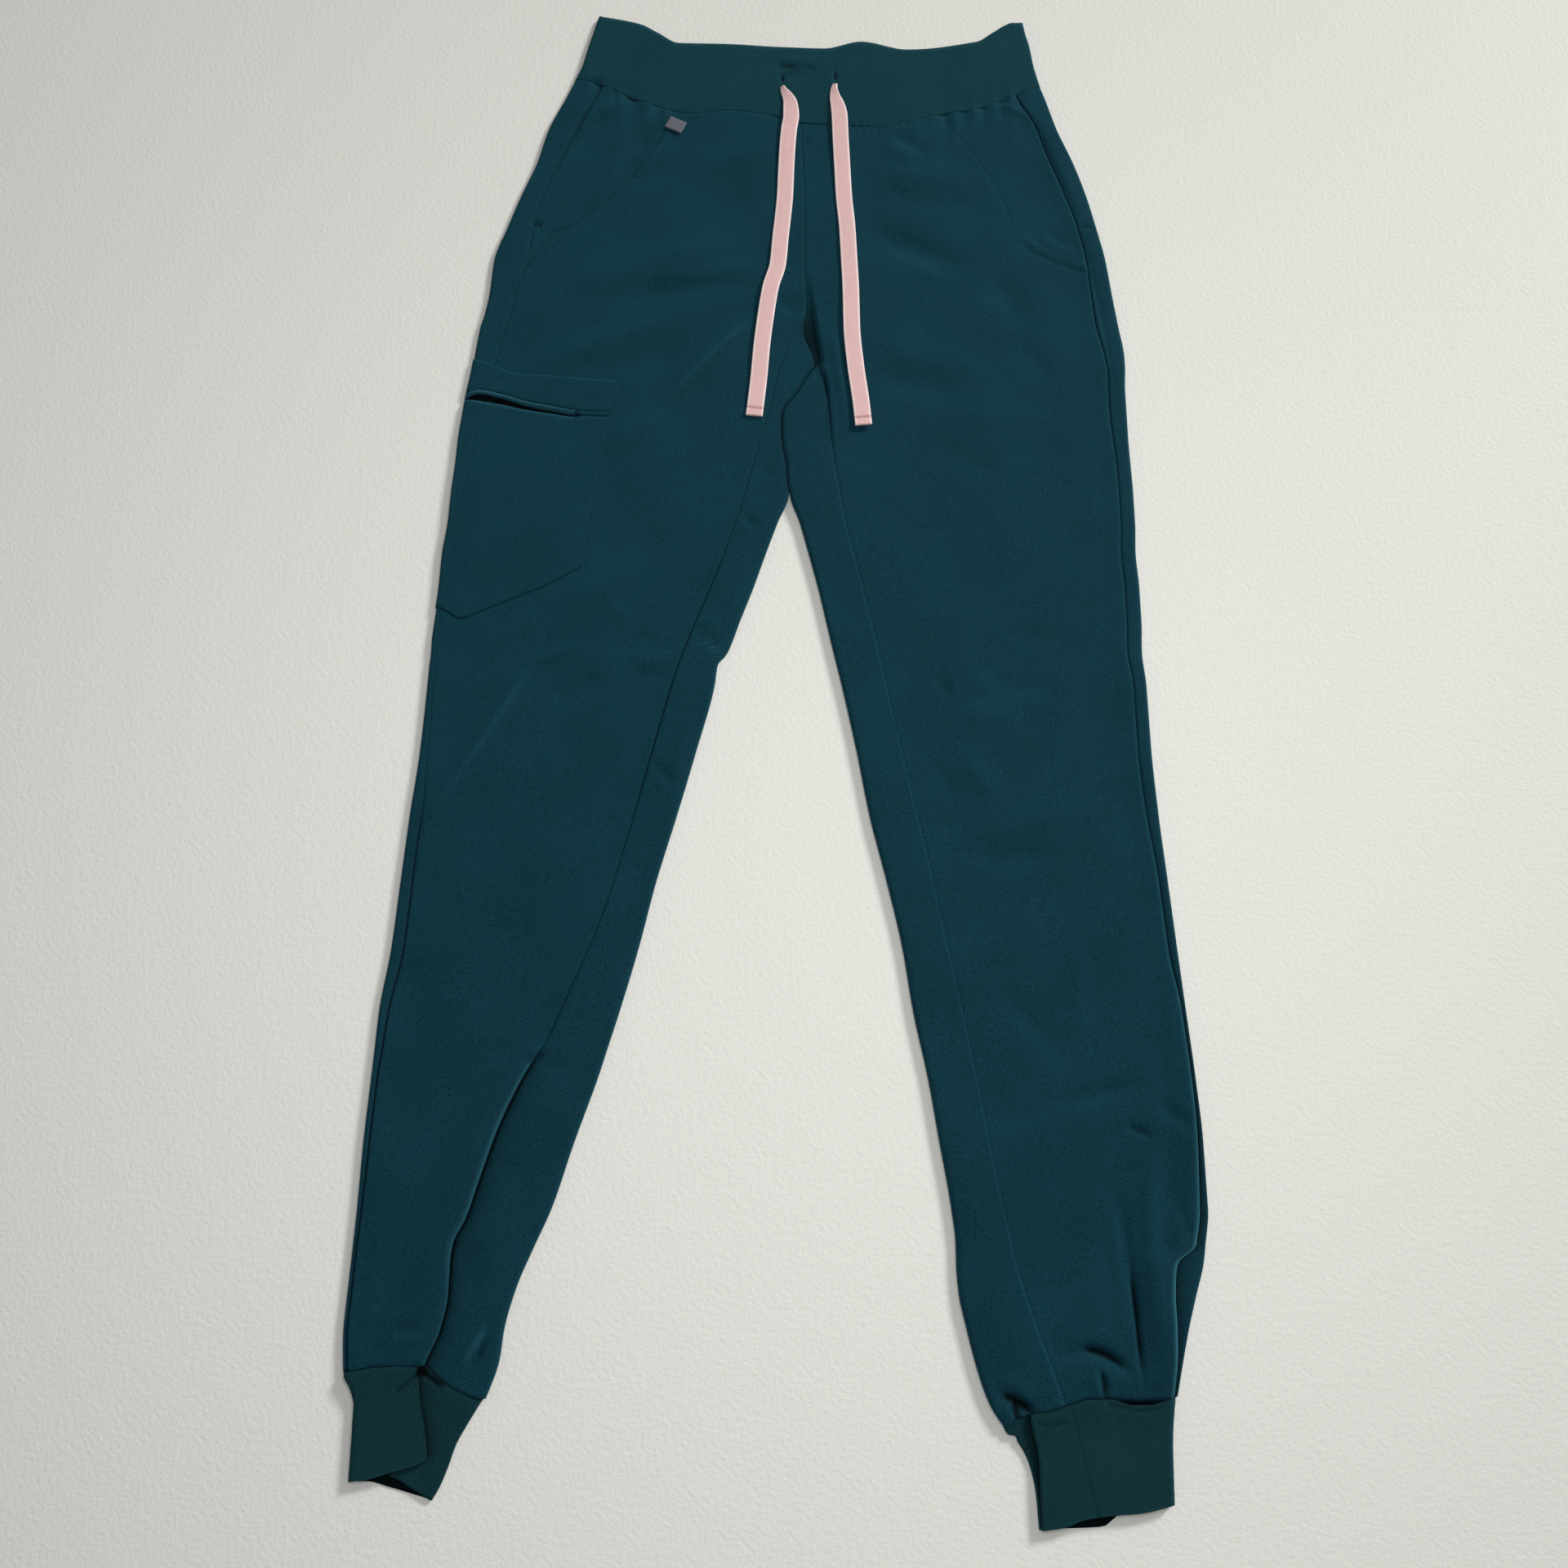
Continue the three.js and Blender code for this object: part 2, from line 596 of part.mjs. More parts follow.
// The band's round sides cross the seam at a slant, so they keep a little more room there.
const SIDE_ROOM = 0.2;
const bandLeft = curve(BAND_SIDES, "y", "left");
const bandRight = curve(BAND_SIDES, "y", "right");
const wasm = await Module();
wasm.setup();

function toManifold(geometry) {
  const bare = geometry.clone();
  bare.deleteAttribute("normal");
  bare.deleteAttribute("uv");
  const merged = mergeVertices(bare, 1e-4);
  return new wasm.Manifold(new wasm.Mesh({
    numProp: 3,
    vertProperties: merged.attributes.position.array,
    triVerts: new Uint32Array(merged.index.array),
  }));
}

function toGeometry(manifold) {
  const mesh = manifold.getMesh();
  const geometry = new THREE.BufferGeometry();
  geometry.setAttribute("position", new THREE.BufferAttribute(mesh.vertProperties, 3));
  geometry.setIndex(new THREE.BufferAttribute(mesh.triVerts, 1));
  return geometry;
}

function waistband() {
  const band = tube({
    legs: [RIGHT, LEFT],
    end: "waist",
    rows: BAND_ROWS,
    height: RIB_HEIGHT,
    fromY: TOP_NOMINAL,
    toY: BAND_TOP_NOMINAL,
    left: bandLeft,
    right: bandRight,
    start: (x, part) => waistSeam(x) + HALF_GAP + (part === "right" || part === "left" ? SIDE_ROOM : 0),
    finish: (x) => bandTop(x),
    relief: () => 0,
  });
  let cut = toManifold(band);
  for (const hole of BUTTONHOLES) {
    const slot = new THREE.BoxGeometry(HOLE_WIDTH, HOLE_LENGTH, RIB_HEIGHT);
    slot.translate(hole.x, hole.y, RIB_HEIGHT);
    cut = cut.subtract(toManifold(slot));
  }
  return toGeometry(cut);
}

// The cuffs: rib-knit tubes. Each lies a little turned, so one fold of it runs up its upper side:
// a flap whose edge stands over the lower cloth, with its own hem line.
const RIGHT_CUFF_SIDES = table(["y", "left", "right"], [
  [-425, -253, -168], [-431, -252.5, -168], [-437, -249, -168.5], [-441, -246, -169],
  [-457, -246, -180], [-468, -246, -186], [-480, -246, -190], [-490, -246, -194],
  [-498, -246, -198],
]);
const RIGHT_HEM_TOP = table(["x", "y"], [
  [-246, -487], [-235, -486], [-222, -482.5], [-210, -479], [-202, -475.5], [-199, -494],
  [-195, -496],
]);
const RIGHT_HEM_UNDER = table(["x", "y"], [
  [-246, -487.5], [-236, -487.5], [-223, -490.5], [-208, -494.5], [-198, -497.5],
]);
const RIGHT_FLAP_EDGE = table(["y", "x"], [
  [-425, -208], [-430, -209], [-447, -207], [-460, -204], [-475, -201], [-498, -199],
]);
const LEFT_CUFF_SIDES = table(["y", "left", "right"], [
  [-441, 127, 228.5], [-452, 127, 227], [-461, 130, 226], [-467, 137, 225.5], [-479, 143, 225],
  [-494, 146, 224.5], [-512, 147, 224],
]);
const LEFT_HEM_TOP = table(["x", "y"], [
  [146, -512.8], [160, -511], [172, -507], [182, -505], [204, -503.5], [222, -500.5], [225, -499],
]);
const LEFT_HEM_UNDER = table(["x", "y"], [
  [146, -512.8], [160, -512.2], [185, -511], [190, -506], [204, -504], [225, -499],
]);
const LEFT_FLAP_EDGE = table(["y", "x"], [
  [-441, 143], [-456, 144], [-471, 148], [-490, 147.5], [-512, 147],
]);
const FLAP_RISE = 3;
const FLAP_ROUND = 3;
const CUFF_ROWS = 5;

function cuff(leg, sides, hemTop, hemUnder, flapEdge, flapSide) {
  const left = curve(sides, "y", "left");
  const right = curve(sides, "y", "right");
  const onTop = curve(hemTop, "x", "y");
  const onUnder = curve(hemUnder, "x", "y");
  const edge = curve(flapEdge, "y", "x");
  const finish = (x, part) => {
    if (part === "top") return onTop(x);
    return part === "under" ? onUnder(x) : (onTop(x) + onUnder(x)) / 2;
  };
  return tube({
    legs: [leg],
    end: "ankle",
    rows: CUFF_ROWS,
    height: RIB_HEIGHT,
    fromY: leg.ankleNominal,
    toY: sides[sides.length - 1].y,
    left,
    right,
    start: (x) => leg.ankle(x) - HALF_GAP,
    finish,
    relief: (x, y) => {
      const from = flapSide * (x - edge(y));
      const inFromSide = Math.min(x - left(y), right(y) - x) - RIB_HEIGHT / 2;
      const round = Math.sqrt(1 - (1 - Math.min(Math.max(from, 0) / FLAP_ROUND, 1)) ** 2);
      return FLAP_RISE * round * smooth(inFromSide / EDGE_FADE);
    },
  });
}

// The thigh pocket on the right leg. Its pieces lie on the panels and reach round the outer edge,
// so each is made from the leg's own points, moved out.
const POCKET_EDGE = table(["y", "x"], [
  [232, -111], [212, -113], [196, -114.5], [178, -117], [163, -120], [141, -123], [118, -127],
  [96, -131], [74, -131.5], [30, -132],
]);
const YOKE_TOP = table(["x", "y"], [
  [-217, 230], [-200, 224], [-183, 217], [-160, 215], [-112, 211],
]);
const MOUTH_LINE = table(["x", "y"], [
  [-217, 201], [-208, 204], [-192, 201], [-174, 195.5], [-156, 192], [-137, 188.5], [-117, 187],
]);
const BODY_TOP = table(["x", "y"], [
  [-217, 194], [-208, 196], [-192, 193.5], [-174, 190], [-156, 187.5], [-141, 185], [-117, 183.5],
]);
const BODY_BOTTOM = table(["x", "y"], [
  [-227, 45], [-219, 41], [-211, 36.5], [-199, 41], [-174, 52], [-153, 61], [-131, 74],
]);
const POCKET_SPAN = { from: 220, to: 50 };
const POCKET_COLUMNS = 12;
const WELT_WIDTH = 3;
const BODY_PUFF = 0.8;
const WRAP_TURN = (100 * Math.PI) / 180;
const WRAP_STEPS = 4;

function pocketPiece(topEdge, bottomEdge, rows, puff) {
  const edge = curve(POCKET_EDGE, "y", "x");
  const leg = RIGHT;
  return solid(rows + 1, POCKET_COLUMNS + 1, false, (i, j, outside) => {
    const depth = outside ? -(LIE_GAP + TWILL_WALL) : -LIE_GAP;
    const flat = POCKET_COLUMNS - WRAP_STEPS;
    const find = (at) => {
      if (j > flat) return at.topEnd + (at.outerRound * WRAP_TURN * (j - flat)) / WRAP_STEPS;
      return lerp(lengthAt(at, at.inner - edge(at.y)), at.topEnd, j / flat);
    };
    let y = lerp(POCKET_SPAN.from, POCKET_SPAN.to, i / rows);
    let point = [];
    for (let pass = 0; pass < SETTLE_PASSES; pass += 1) {
      const at = section(leg, y);
      const place = skin(at, find(at));
      const raised = Math.max(place.normal[1], 0) * relief(at, place.across, y, true);
      point = [
        at.inner + leg.side * (place.across - depth * place.normal[0]),
        y,
        place.up - depth * place.normal[1] + raised,
      ];
      y = lerp(topEdge(point[0]), bottomEdge(point[0]), i / rows);
    }
    const bulge = Math.sin((Math.PI * i) / rows) * Math.sin((Math.PI * j) / POCKET_COLUMNS);
    return [point[0], y, point[2] + puff * bulge];
  });
}

// The height of what lies under a tape or a tab at a point.
function surfaceHeight(x, y) {
  if (y > waistSeam(x) - SEAM_GAP) return RIB_HEIGHT;
  const leg = x < meeting(y) ? RIGHT : LEFT;
  const at = section(leg, y);
  return at.height + relief(at, leg.side * (x - at.inner), y, true);
}

function highestNear(x, y, reach) {
  let highest = 0;
  for (const dx of [-reach, -reach / 2, 0, reach / 2, reach]) {
    for (const dy of [-reach, 0, reach]) highest = Math.max(highest, surfaceHeight(x + dx, y + dy));
  }
  return highest;
}

// The drawstring's two free ends: a flat woven tape. It comes out of its buttonhole on edge, and
// lies down flat within a few centimetres. width is the tape's breadth at each point.
const TAPE_THICK = 1.6;
const TAPE_SIDES = 8;
const TAPE_FLATTEN = 1.2;
const RIGHT_TAPE = table(["x", "y", "width"], [
  [1, 449, 5], [2.5, 445, 6.5], [5.5, 440, 8.5], [7.5, 434, 10.5], [7.5, 424, 11.5], [6, 413, 11.5],
  [4.8, 398, 11.5], [4, 382, 11.5], [3, 357, 11.5], [1.5, 340, 11.5], [0, 325, 11.5],
  [-2, 302, 11.5], [-7, 283, 11.5], [-10, 263, 11.5], [-13, 237, 11.5], [-15, 212, 11.5],
  [-18, 184, 11.5],
]);
const LEFT_TAPE = table(["x", "y", "width"], [
  [39.5, 451, 5], [39, 446, 6.5], [39.8, 440, 8.5], [41.5, 434, 10.5], [42.5, 424, 11.5],
  [43, 407, 11.5], [44, 382, 11.5], [45, 357, 11.5], [47, 332, 11.5], [48, 308, 11.5],
  [49, 280, 11.5], [49.3, 251, 11.5], [51.5, 222, 11.5], [55, 193, 11.5], [56.5, 176, 11.5],
]);

function tape(rows) {
  const half = TAPE_THICK / 2;
  const heights = rows.map((row) => highestNear(row.x, row.y, row.width / 2 + 2) + LIE_GAP + half);
  // Each point is no lower than the cloth near its neighbours, so the straight runs clear it too.
  const middle = heights.map((h, i) => Math.max(h, heights[i - 1] ?? 0, heights[i + 1] ?? 0));
  const positions = [];
  const index = [];
  rows.forEach((row, i) => {
    const before = rows[Math.max(i - 1, 0)];
    const after = rows[Math.min(i + 1, rows.length - 1)];
    const length = Math.hypot(after.x - before.x, after.y - before.y);
    const across = [-(after.y - before.y) / length, (after.x - before.x) / length];
    for (let k = 0; k < TAPE_SIDES; k += 1) {
      const turn = ((k + 0.5) * 2 * Math.PI) / TAPE_SIDES;
      const out = (row.width / 2) * Math.max(Math.min(Math.cos(turn) * TAPE_FLATTEN, 1), -1);
      positions.push(row.x + across[0] * out, row.y + across[1] * out, middle[i] + half * Math.sin(turn));
    }
  });
  const last = (rows.length - 1) * TAPE_SIDES;
  for (let i = 0; i < rows.length - 1; i += 1) {
    for (let k = 0; k < TAPE_SIDES; k += 1) {
      const a = i * TAPE_SIDES + k;
      const b = i * TAPE_SIDES + ((k + 1) % TAPE_SIDES);
      index.push(a, b, b + TAPE_SIDES, a, b + TAPE_SIDES, a + TAPE_SIDES);
    }
  }
  for (let k = 1; k < TAPE_SIDES - 1; k += 1) {
    index.push(0, k + 1, k, last, last + k, last + k + 1);
  }
  return facingOut(positions, index);
}

// The woven tab at the waist seam: bare, and turned a little.
const TAB_SIZE = { x: -76.5, y: 417, length: 12, width: 9, turn: (-26 * Math.PI) / 180 };
function tab() {
  const { x, y, length, width, turn } = TAB_SIZE;
  const plate = new THREE.BoxGeometry(length, width, WEBBING);
  plate.rotateZ(turn);
  plate.translate(x, y, highestNear(x, y, length / 2) + LIE_GAP + WEBBING / 2);
  return plate;
}

const garment = new THREE.Group();
function add(name, geometry, material) {
  const mesh = new THREE.Mesh(geometry, material);
  mesh.name = name;
  garment.add(mesh);
}

const mouth = curve(MOUTH_LINE, "x", "y");
const yokeTop = curve(YOKE_TOP, "x", "y");
const bodyTop = curve(BODY_TOP, "x", "y");
const bodyBottom = curve(BODY_BOTTOM, "x", "y");

add("waistband", waistband(), RIB);
add("front_right", frontPanel(RIGHT), TWILL);
add("front_left", frontPanel(LEFT), TWILL);
add("back_right", backPanel(RIGHT), TWILL);
add("back_left", backPanel(LEFT), TWILL);
add("cuff_right", cuff(
  RIGHT, RIGHT_CUFF_SIDES, RIGHT_HEM_TOP, RIGHT_HEM_UNDER, RIGHT_FLAP_EDGE, -1,
), RIB);
add("cuff_left", cuff(
  LEFT, LEFT_CUFF_SIDES, LEFT_HEM_TOP, LEFT_HEM_UNDER, LEFT_FLAP_EDGE, 1,
), RIB);
add("cargo_pocket_yoke", pocketPiece(yokeTop, (x) => mouth(x) + HALF_GAP, 3, 0), TWILL);
add("cargo_pocket_welt", pocketPiece(
  (x) => mouth(x) - HALF_GAP, (x) => mouth(x) - WELT_WIDTH, 1, 0,
), TWILL);
add("cargo_pocket_body", pocketPiece(
  (x) => bodyTop(x) - HALF_GAP, bodyBottom, 9, BODY_PUFF,
), TWILL);
add("label_tab", tab(), TAB);
add("drawstring_right", tape(RIGHT_TAPE), TAPE);
add("drawstring_left", tape(LEFT_TAPE), TAPE);

export default garment;
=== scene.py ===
import json
import math

import bpy
import numpy as np
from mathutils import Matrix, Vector

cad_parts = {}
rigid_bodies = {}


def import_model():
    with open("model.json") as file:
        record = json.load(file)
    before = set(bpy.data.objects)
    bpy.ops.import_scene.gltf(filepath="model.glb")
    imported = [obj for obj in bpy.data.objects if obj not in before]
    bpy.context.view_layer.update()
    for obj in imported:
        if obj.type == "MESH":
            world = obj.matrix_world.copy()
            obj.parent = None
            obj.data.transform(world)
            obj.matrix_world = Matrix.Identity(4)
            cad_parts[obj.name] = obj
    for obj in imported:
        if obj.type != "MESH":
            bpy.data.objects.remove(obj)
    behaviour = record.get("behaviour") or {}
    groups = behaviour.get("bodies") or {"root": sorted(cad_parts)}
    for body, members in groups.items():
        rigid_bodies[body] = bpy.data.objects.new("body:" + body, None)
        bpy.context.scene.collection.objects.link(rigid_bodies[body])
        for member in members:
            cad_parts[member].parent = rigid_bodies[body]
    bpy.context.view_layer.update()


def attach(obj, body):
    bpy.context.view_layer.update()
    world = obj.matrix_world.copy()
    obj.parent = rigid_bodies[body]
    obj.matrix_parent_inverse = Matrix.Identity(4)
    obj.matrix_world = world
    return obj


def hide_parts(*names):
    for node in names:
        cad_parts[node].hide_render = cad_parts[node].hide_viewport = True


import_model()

# The view: a camera held above the thighs and tipped towards the waist, a pale painted floor, and
# the light of a bright room, strongest from the upper right.
CAMERA_PLACE = (0.00235, -0.328, 0.9459)
CAMERA_TIP = math.radians(15)
CAMERA_LENS = 35
FLOOR_SIDE = 7.0
FLOOR_COLOUR = (0.80, 0.803, 0.75)
ROOM_COLOUR = (0.97, 0.98, 1.0)
ROOM_STRENGTH = 0.2
LAMPS = {
    "near_lamp": {"place": (0.1, -0.2, 0.99), "size": 0.4, "power": 4.15, "colour": (1.0, 1.0, 1.0)},
    "window_lamp": {"place": (3.65, 3.06, 2.75), "size": 1.1, "power": 235, "colour": (1.0, 0.99, 0.97)},
}


def new_material(name):
    """A material whose node tree holds only the shader and its output."""
    made = bpy.data.materials.new(name)
    made.use_nodes = True
    tree = made.node_tree
    shader = tree.nodes["Principled BSDF"]
    return made, tree, shader


def add_node(tree, kind, values=(), **settings):
    """A shader node with its settings and the values of its sockets."""
    made = tree.nodes.new(kind)
    for key, value in settings.items():
        setattr(made, key, value)
    for socket, value in dict(values).items():
        made.inputs[socket].default_value = value
    return made


scene = bpy.context.scene
scene.view_settings.view_transform = "Standard"

camera = bpy.data.objects.new("camera", bpy.data.cameras.new("camera"))
scene.collection.objects.link(camera)
camera.location = CAMERA_PLACE
camera.rotation_euler = (CAMERA_TIP, 0, 0)
camera.data.lens = CAMERA_LENS
camera.data.clip_start = 0.01
scene.camera = camera

scene.world = bpy.data.worlds.new("room")
scene.world.use_nodes = True
room = scene.world.node_tree.nodes["Background"]
room.inputs["Color"].default_value = (*ROOM_COLOUR, 1)
room.inputs["Strength"].default_value = ROOM_STRENGTH

for lamp_name, lamp_row in LAMPS.items():
    lamp = bpy.data.objects.new(lamp_name, bpy.data.lights.new(lamp_name, "AREA"))
    scene.collection.objects.link(lamp)
    lamp.data.size = lamp_row["size"]
    lamp.data.energy = lamp_row["power"]
    lamp.data.color = lamp_row["colour"]
    lamp.location = lamp_row["place"]
    lamp.rotation_euler = lamp.location.to_track_quat("Z", "Y").to_euler()

floor_mesh = bpy.data.meshes.new("floor")
reach = FLOOR_SIDE / 2
floor_mesh.from_pydata(
    [(-reach, -reach, 0), (reach, -reach, 0), (reach, reach, 0), (-reach, reach, 0)], [], [(0, 1, 2, 3)]
)
floor = bpy.data.objects.new("floor", floor_mesh)
scene.collection.objects.link(floor)
paint, paint_tree, paint_shader = new_material("floor_paint")
floor_mesh.materials.append(paint)
paint_shader.inputs["Base Color"].default_value = (*FLOOR_COLOUR, 1)
paint_shader.inputs["Roughness"].default_value = 0.55
paint_shader.inputs["Specular IOR Level"].default_value = 0.2
paint_place = add_node(paint_tree, "ShaderNodeTexCoord")
paint_grain = add_node(paint_tree, "ShaderNodeTexNoise", {"Scale": 330.0, "Detail": 5.0, "Roughness": 0.62})
paint_bump = add_node(paint_tree, "ShaderNodeBump", {"Strength": 0.7, "Distance": 0.0007})
paint_tree.links.new(paint_place.outputs["Object"], paint_grain.inputs["Vector"])
paint_tree.links.new(paint_grain.outputs["Fac"], paint_bump.inputs["Height"])
paint_tree.links.new(paint_bump.outputs["Normal"], paint_shader.inputs["Normal"])

# The drawstring: a flat woven tape of pale pink cotton. It runs round inside the waistband, and its
# two free ends come out of the buttonholes, open flat and lie down over the fronts. Each end is
# turned under and stitched. Tables are in millimetres, and MM turns them into the frame's metres.
MM = 0.001
TAPE_THICK = 1.0
TAPE_STEP = 1.2
TAPE_COLUMNS = 24
TAPE_HEM = 6.5
TAPE_CLEAR = 0.1
TAPE_HEM_RISE = {"over": 0.8, "lift": 0.35}
TAPE_STITCH = {"inside": 0.6, "width": 0.8, "depth": 0.55, "dark": 1.6}
TAPE_SECTION = {"flat": 1.12, "round": 0.5}
SELVEDGE = {"from": 0.78, "over": 0.14, "lift": 0.15}
ROLL_HEIGHT = 0.35
TAPE_PINK = (0.825, 0.545, 0.53, 1)
TAPE_PALE = (0.98, 0.80, 0.79, 1)
TAPE_DARK = (0.52, 0.30, 0.29, 1)
TAPE_COLUMN_NAMES = ["x", "y", "z", "width", "roll"]


def table(columns, rows):
    """A short table: one dict for each row, with the columns' names as its keys."""
    return [dict(zip(columns, row)) for row in rows]


RIGHT_TAPE = table(TAPE_COLUMN_NAMES, [
    [1, 449, 6.4, 4.5, 60], [2.5, 445, 6.6, 6.5, 42], [5.2, 440, 6.6, 8.5, 24], [7, 434, 6.4, 10.5, 10],
    [7.5, 424, 6.4, 11.5, 0], [6, 413, 6.4, 11.5, 0], [4.8, 398, 6.4, 11.5, 0], [4, 382, 5.9, 11.5, 0],
    [3, 357, 5.8, 11.5, 0], [1.5, 340, 5.85, 11.5, 0], [0, 325, 6, 11.5, 0], [-2, 302, 6.3, 11.5, 0],
    [-7, 283, 7.1, 11.5, 0], [-10, 263, 7.2, 11.5, 0], [-13, 237, 7.2, 11.5, 0],
    [-15, 212, 6.9, 11.5, 0], [-18, 184, 6, 11.5, 0],
])
LEFT_TAPE = table(TAPE_COLUMN_NAMES, [
    [39.5, 451, 6.4, 4.5, 50], [38.8, 446, 6.7, 6, 36], [39.4, 440, 6.6, 8, 20], [41, 434, 6.4, 10, 8],
    [42.5, 424, 6.4, 11.5, 0], [43, 407, 6.4, 11.5, 0], [44, 382, 6, 11.5, 0], [45, 357, 6.05, 11.5, 0],
    [47, 332, 6.25, 11.5, 0], [48, 308, 6.5, 11.5, 0], [49, 280, 6.9, 11.5, 0],
    [49.3, 251, 8.1, 11.5, 0], [51.5, 222, 8.2, 11.5, 0], [55, 193, 8.1, 11.5, 0],
    [56.5, 176, 8, 11.5, 0],
])


def smooth(t):
    """The soft step from 0 to 1."""
    s = np.clip(t, 0, 1)
    return s * s * (3 - 2 * s)


def lerp(a, b, t):
    return a + (b - a) * t


def hump(distance, width):
    """The soft bump that is 1 at no distance and fades to both sides."""
    return np.exp(-((distance / width) ** 2))


def curve(rows, source, target):
    """The smooth curve through two columns of a table. It is level past its ends and never overshoots."""
    rows = sorted(rows, key=lambda row: row[source])
    x = np.array([row[source] for row in rows], float)
    y = np.array([row[target] for row in rows], float)
    slope = np.diff(y) / np.diff(x)
    product = slope[:-1] * slope[1:]
    both = slope[:-1] + slope[1:]
    middle = np.where(product > 0, 2 * product / np.where(both == 0, 1, both), 0)
    tangent = np.concatenate([slope[:1], middle, slope[-1:]])

    def at(value):
        value = np.clip(value, x[0], x[-1])
        i = np.clip(np.searchsorted(x, value) - 1, 0, len(x) - 2)
        step = x[i + 1] - x[i]
        t = (value - x[i]) / step
        bend = tangent[i] * t * (1 - t) ** 2 - tangent[i + 1] * t * t * (1 - t)
        return y[i] + (y[i + 1] - y[i]) * t * t * (3 - 2 * t) + step * bend

    return at


def add_piece(name, vertices, faces, finish, slot, sunk=None):
    """A mesh object made from millimetres, shaded smooth but for its rims, in its finish, riding on
    the part. sunk gives each vertex its painted shade, up to 1, or below 0 its painted highlight."""
    mesh = bpy.data.meshes.new(name)
    mesh.from_pydata((np.asarray(vertices, float) * MM).tolist(), [], faces)
    mesh.polygons.foreach_set("use_smooth", [len(face) == 4 for face in faces])
    mesh.materials.append(finish)
    # The sunk attribute carries painted shade, and below 0 painted highlight, into the cloth's colour.
    if sunk is not None:
        mesh.attributes.new("sunk", "FLOAT", "POINT").data.foreach_set("value", np.ravel(sunk))
    mesh.update()
    piece = bpy.data.objects.new(name, mesh)
    scene.collection.objects.link(piece)
    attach(piece, "root")
    return piece


def tape_line(rows):
    """The tape's middle line, with its width and roll, in steps of one length."""
    points = np.array([[row[key] for key in TAPE_COLUMN_NAMES] for row in rows], float)
    along = np.concatenate([[0], np.cumsum(np.linalg.norm(np.diff(points[:, :3], axis=0), axis=1))])
    steps = np.linspace(0, along[-1], int(along[-1] / TAPE_STEP) + 1)
    keyed = [dict(zip(["along", *TAPE_COLUMN_NAMES], [a, *p])) for a, p in zip(along, points)]
    return steps, np.stack([curve(keyed, "along", key)(steps) for key in TAPE_COLUMN_NAMES], axis=1)


def make_tape(name, node, rows, finish):
    """One free end: a flat loop of points for each step of its line, closed by a face at both ends.
    The attribute named selvedge says how pale it is, or below 0 how dark its line of stitches is."""
    steps, line = tape_line(rows)
    ahead = np.gradient(line[:, :2], axis=0)
    ahead /= np.linalg.norm(ahead, axis=1)[:, None]
    sideways = np.stack([-ahead[:, 1], ahead[:, 0]], axis=1)
    turn = (np.arange(TAPE_COLUMNS) + 0.5) * 2 * np.pi / TAPE_COLUMNS
    across = np.clip(np.cos(turn) * TAPE_SECTION["flat"], -1, 1)
    up = np.sign(np.sin(turn)) * np.abs(np.sin(turn)) ** TAPE_SECTION["round"]
    selvedge = smooth((np.abs(across) - SELVEDGE["from"]) / SELVEDGE["over"])
    from_end = steps[-1] - steps
    hem = smooth((TAPE_HEM - from_end) / TAPE_HEM_RISE["over"])
    stitched = hump(from_end - TAPE_HEM + TAPE_STITCH["inside"], TAPE_STITCH["width"])
    half = TAPE_THICK / 2
    points = []
    for i, (x, y, z, width, roll) in enumerate(line):
        spread = across * width / 2
        turned_under = (TAPE_HEM_RISE["lift"] * hem[i] - TAPE_STITCH["depth"] * stitched[i]) * (up > 0)
        lift = up * half * (1 + SELVEDGE["lift"] * selvedge) + turned_under
        tilt = math.radians(roll)
        level = spread * math.cos(tilt) - lift * math.sin(tilt)
        height = spread * math.sin(tilt) * ROLL_HEIGHT + lift * math.cos(tilt)
        points.append(np.stack([
            x + sideways[i, 0] * level, y + sideways[i, 1] * level, z + TAPE_CLEAR + height,
        ], axis=1))
    count = len(points)
    faces = [
        (i * TAPE_COLUMNS + k, i * TAPE_COLUMNS + (k + 1) % TAPE_COLUMNS,
         (i + 1) * TAPE_COLUMNS + (k + 1) % TAPE_COLUMNS, (i + 1) * TAPE_COLUMNS + k)
        for i in range(count - 1) for k in range(TAPE_COLUMNS)
    ]
    faces.append(tuple(reversed(range(TAPE_COLUMNS))))
    faces.append(tuple((count - 1) * TAPE_COLUMNS + k for k in range(TAPE_COLUMNS)))
    piece = add_piece(name, np.concatenate(points), [face[::-1] for face in faces], finish, "tape")
    pale = piece.data.attributes.new("selvedge", "FLOAT", "POINT")
    pale.data.foreach_set("value", np.ravel(selvedge - TAPE_STITCH["dark"] * stitched[:, None]))
    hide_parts(node)


tape_finish, tape_tree, tape_shader = new_material("tape_weave")
tape_place = add_node(tape_tree, "ShaderNodeTexCoord")
tape_edge = add_node(tape_tree, "ShaderNodeAttribute", attribute_name="selvedge")
tape_mottle = add_node(tape_tree, "ShaderNodeTexNoise", {"Scale": 260.0, "Detail": 4.0})
tape_shade = add_node(tape_tree, "ShaderNodeMix", data_type="RGBA", blend_type="MULTIPLY")
tape_shade.inputs["Factor"].default_value = 0.14
tape_colour = add_node(tape_tree, "ShaderNodeMix", data_type="RGBA")
tape_colour.inputs["A"].default_value = TAPE_PINK
tape_colour.inputs["B"].default_value = TAPE_PALE
tape_pick = add_node(tape_tree, "ShaderNodeTexWave", {
    "Scale": 520.0, "Distortion": 0.6, "Detail": 1.0,
}, bands_direction="Y")
tape_bump = add_node(tape_tree, "ShaderNodeBump", {"Strength": 0.5, "Distance": 0.00012})
tape_tree.links.new(tape_place.outputs["Object"], tape_mottle.inputs["Vector"])
tape_tree.links.new(tape_place.outputs["Object"], tape_pick.inputs["Vector"])
tape_tree.links.new(tape_edge.outputs["Fac"], tape_colour.inputs["Factor"])
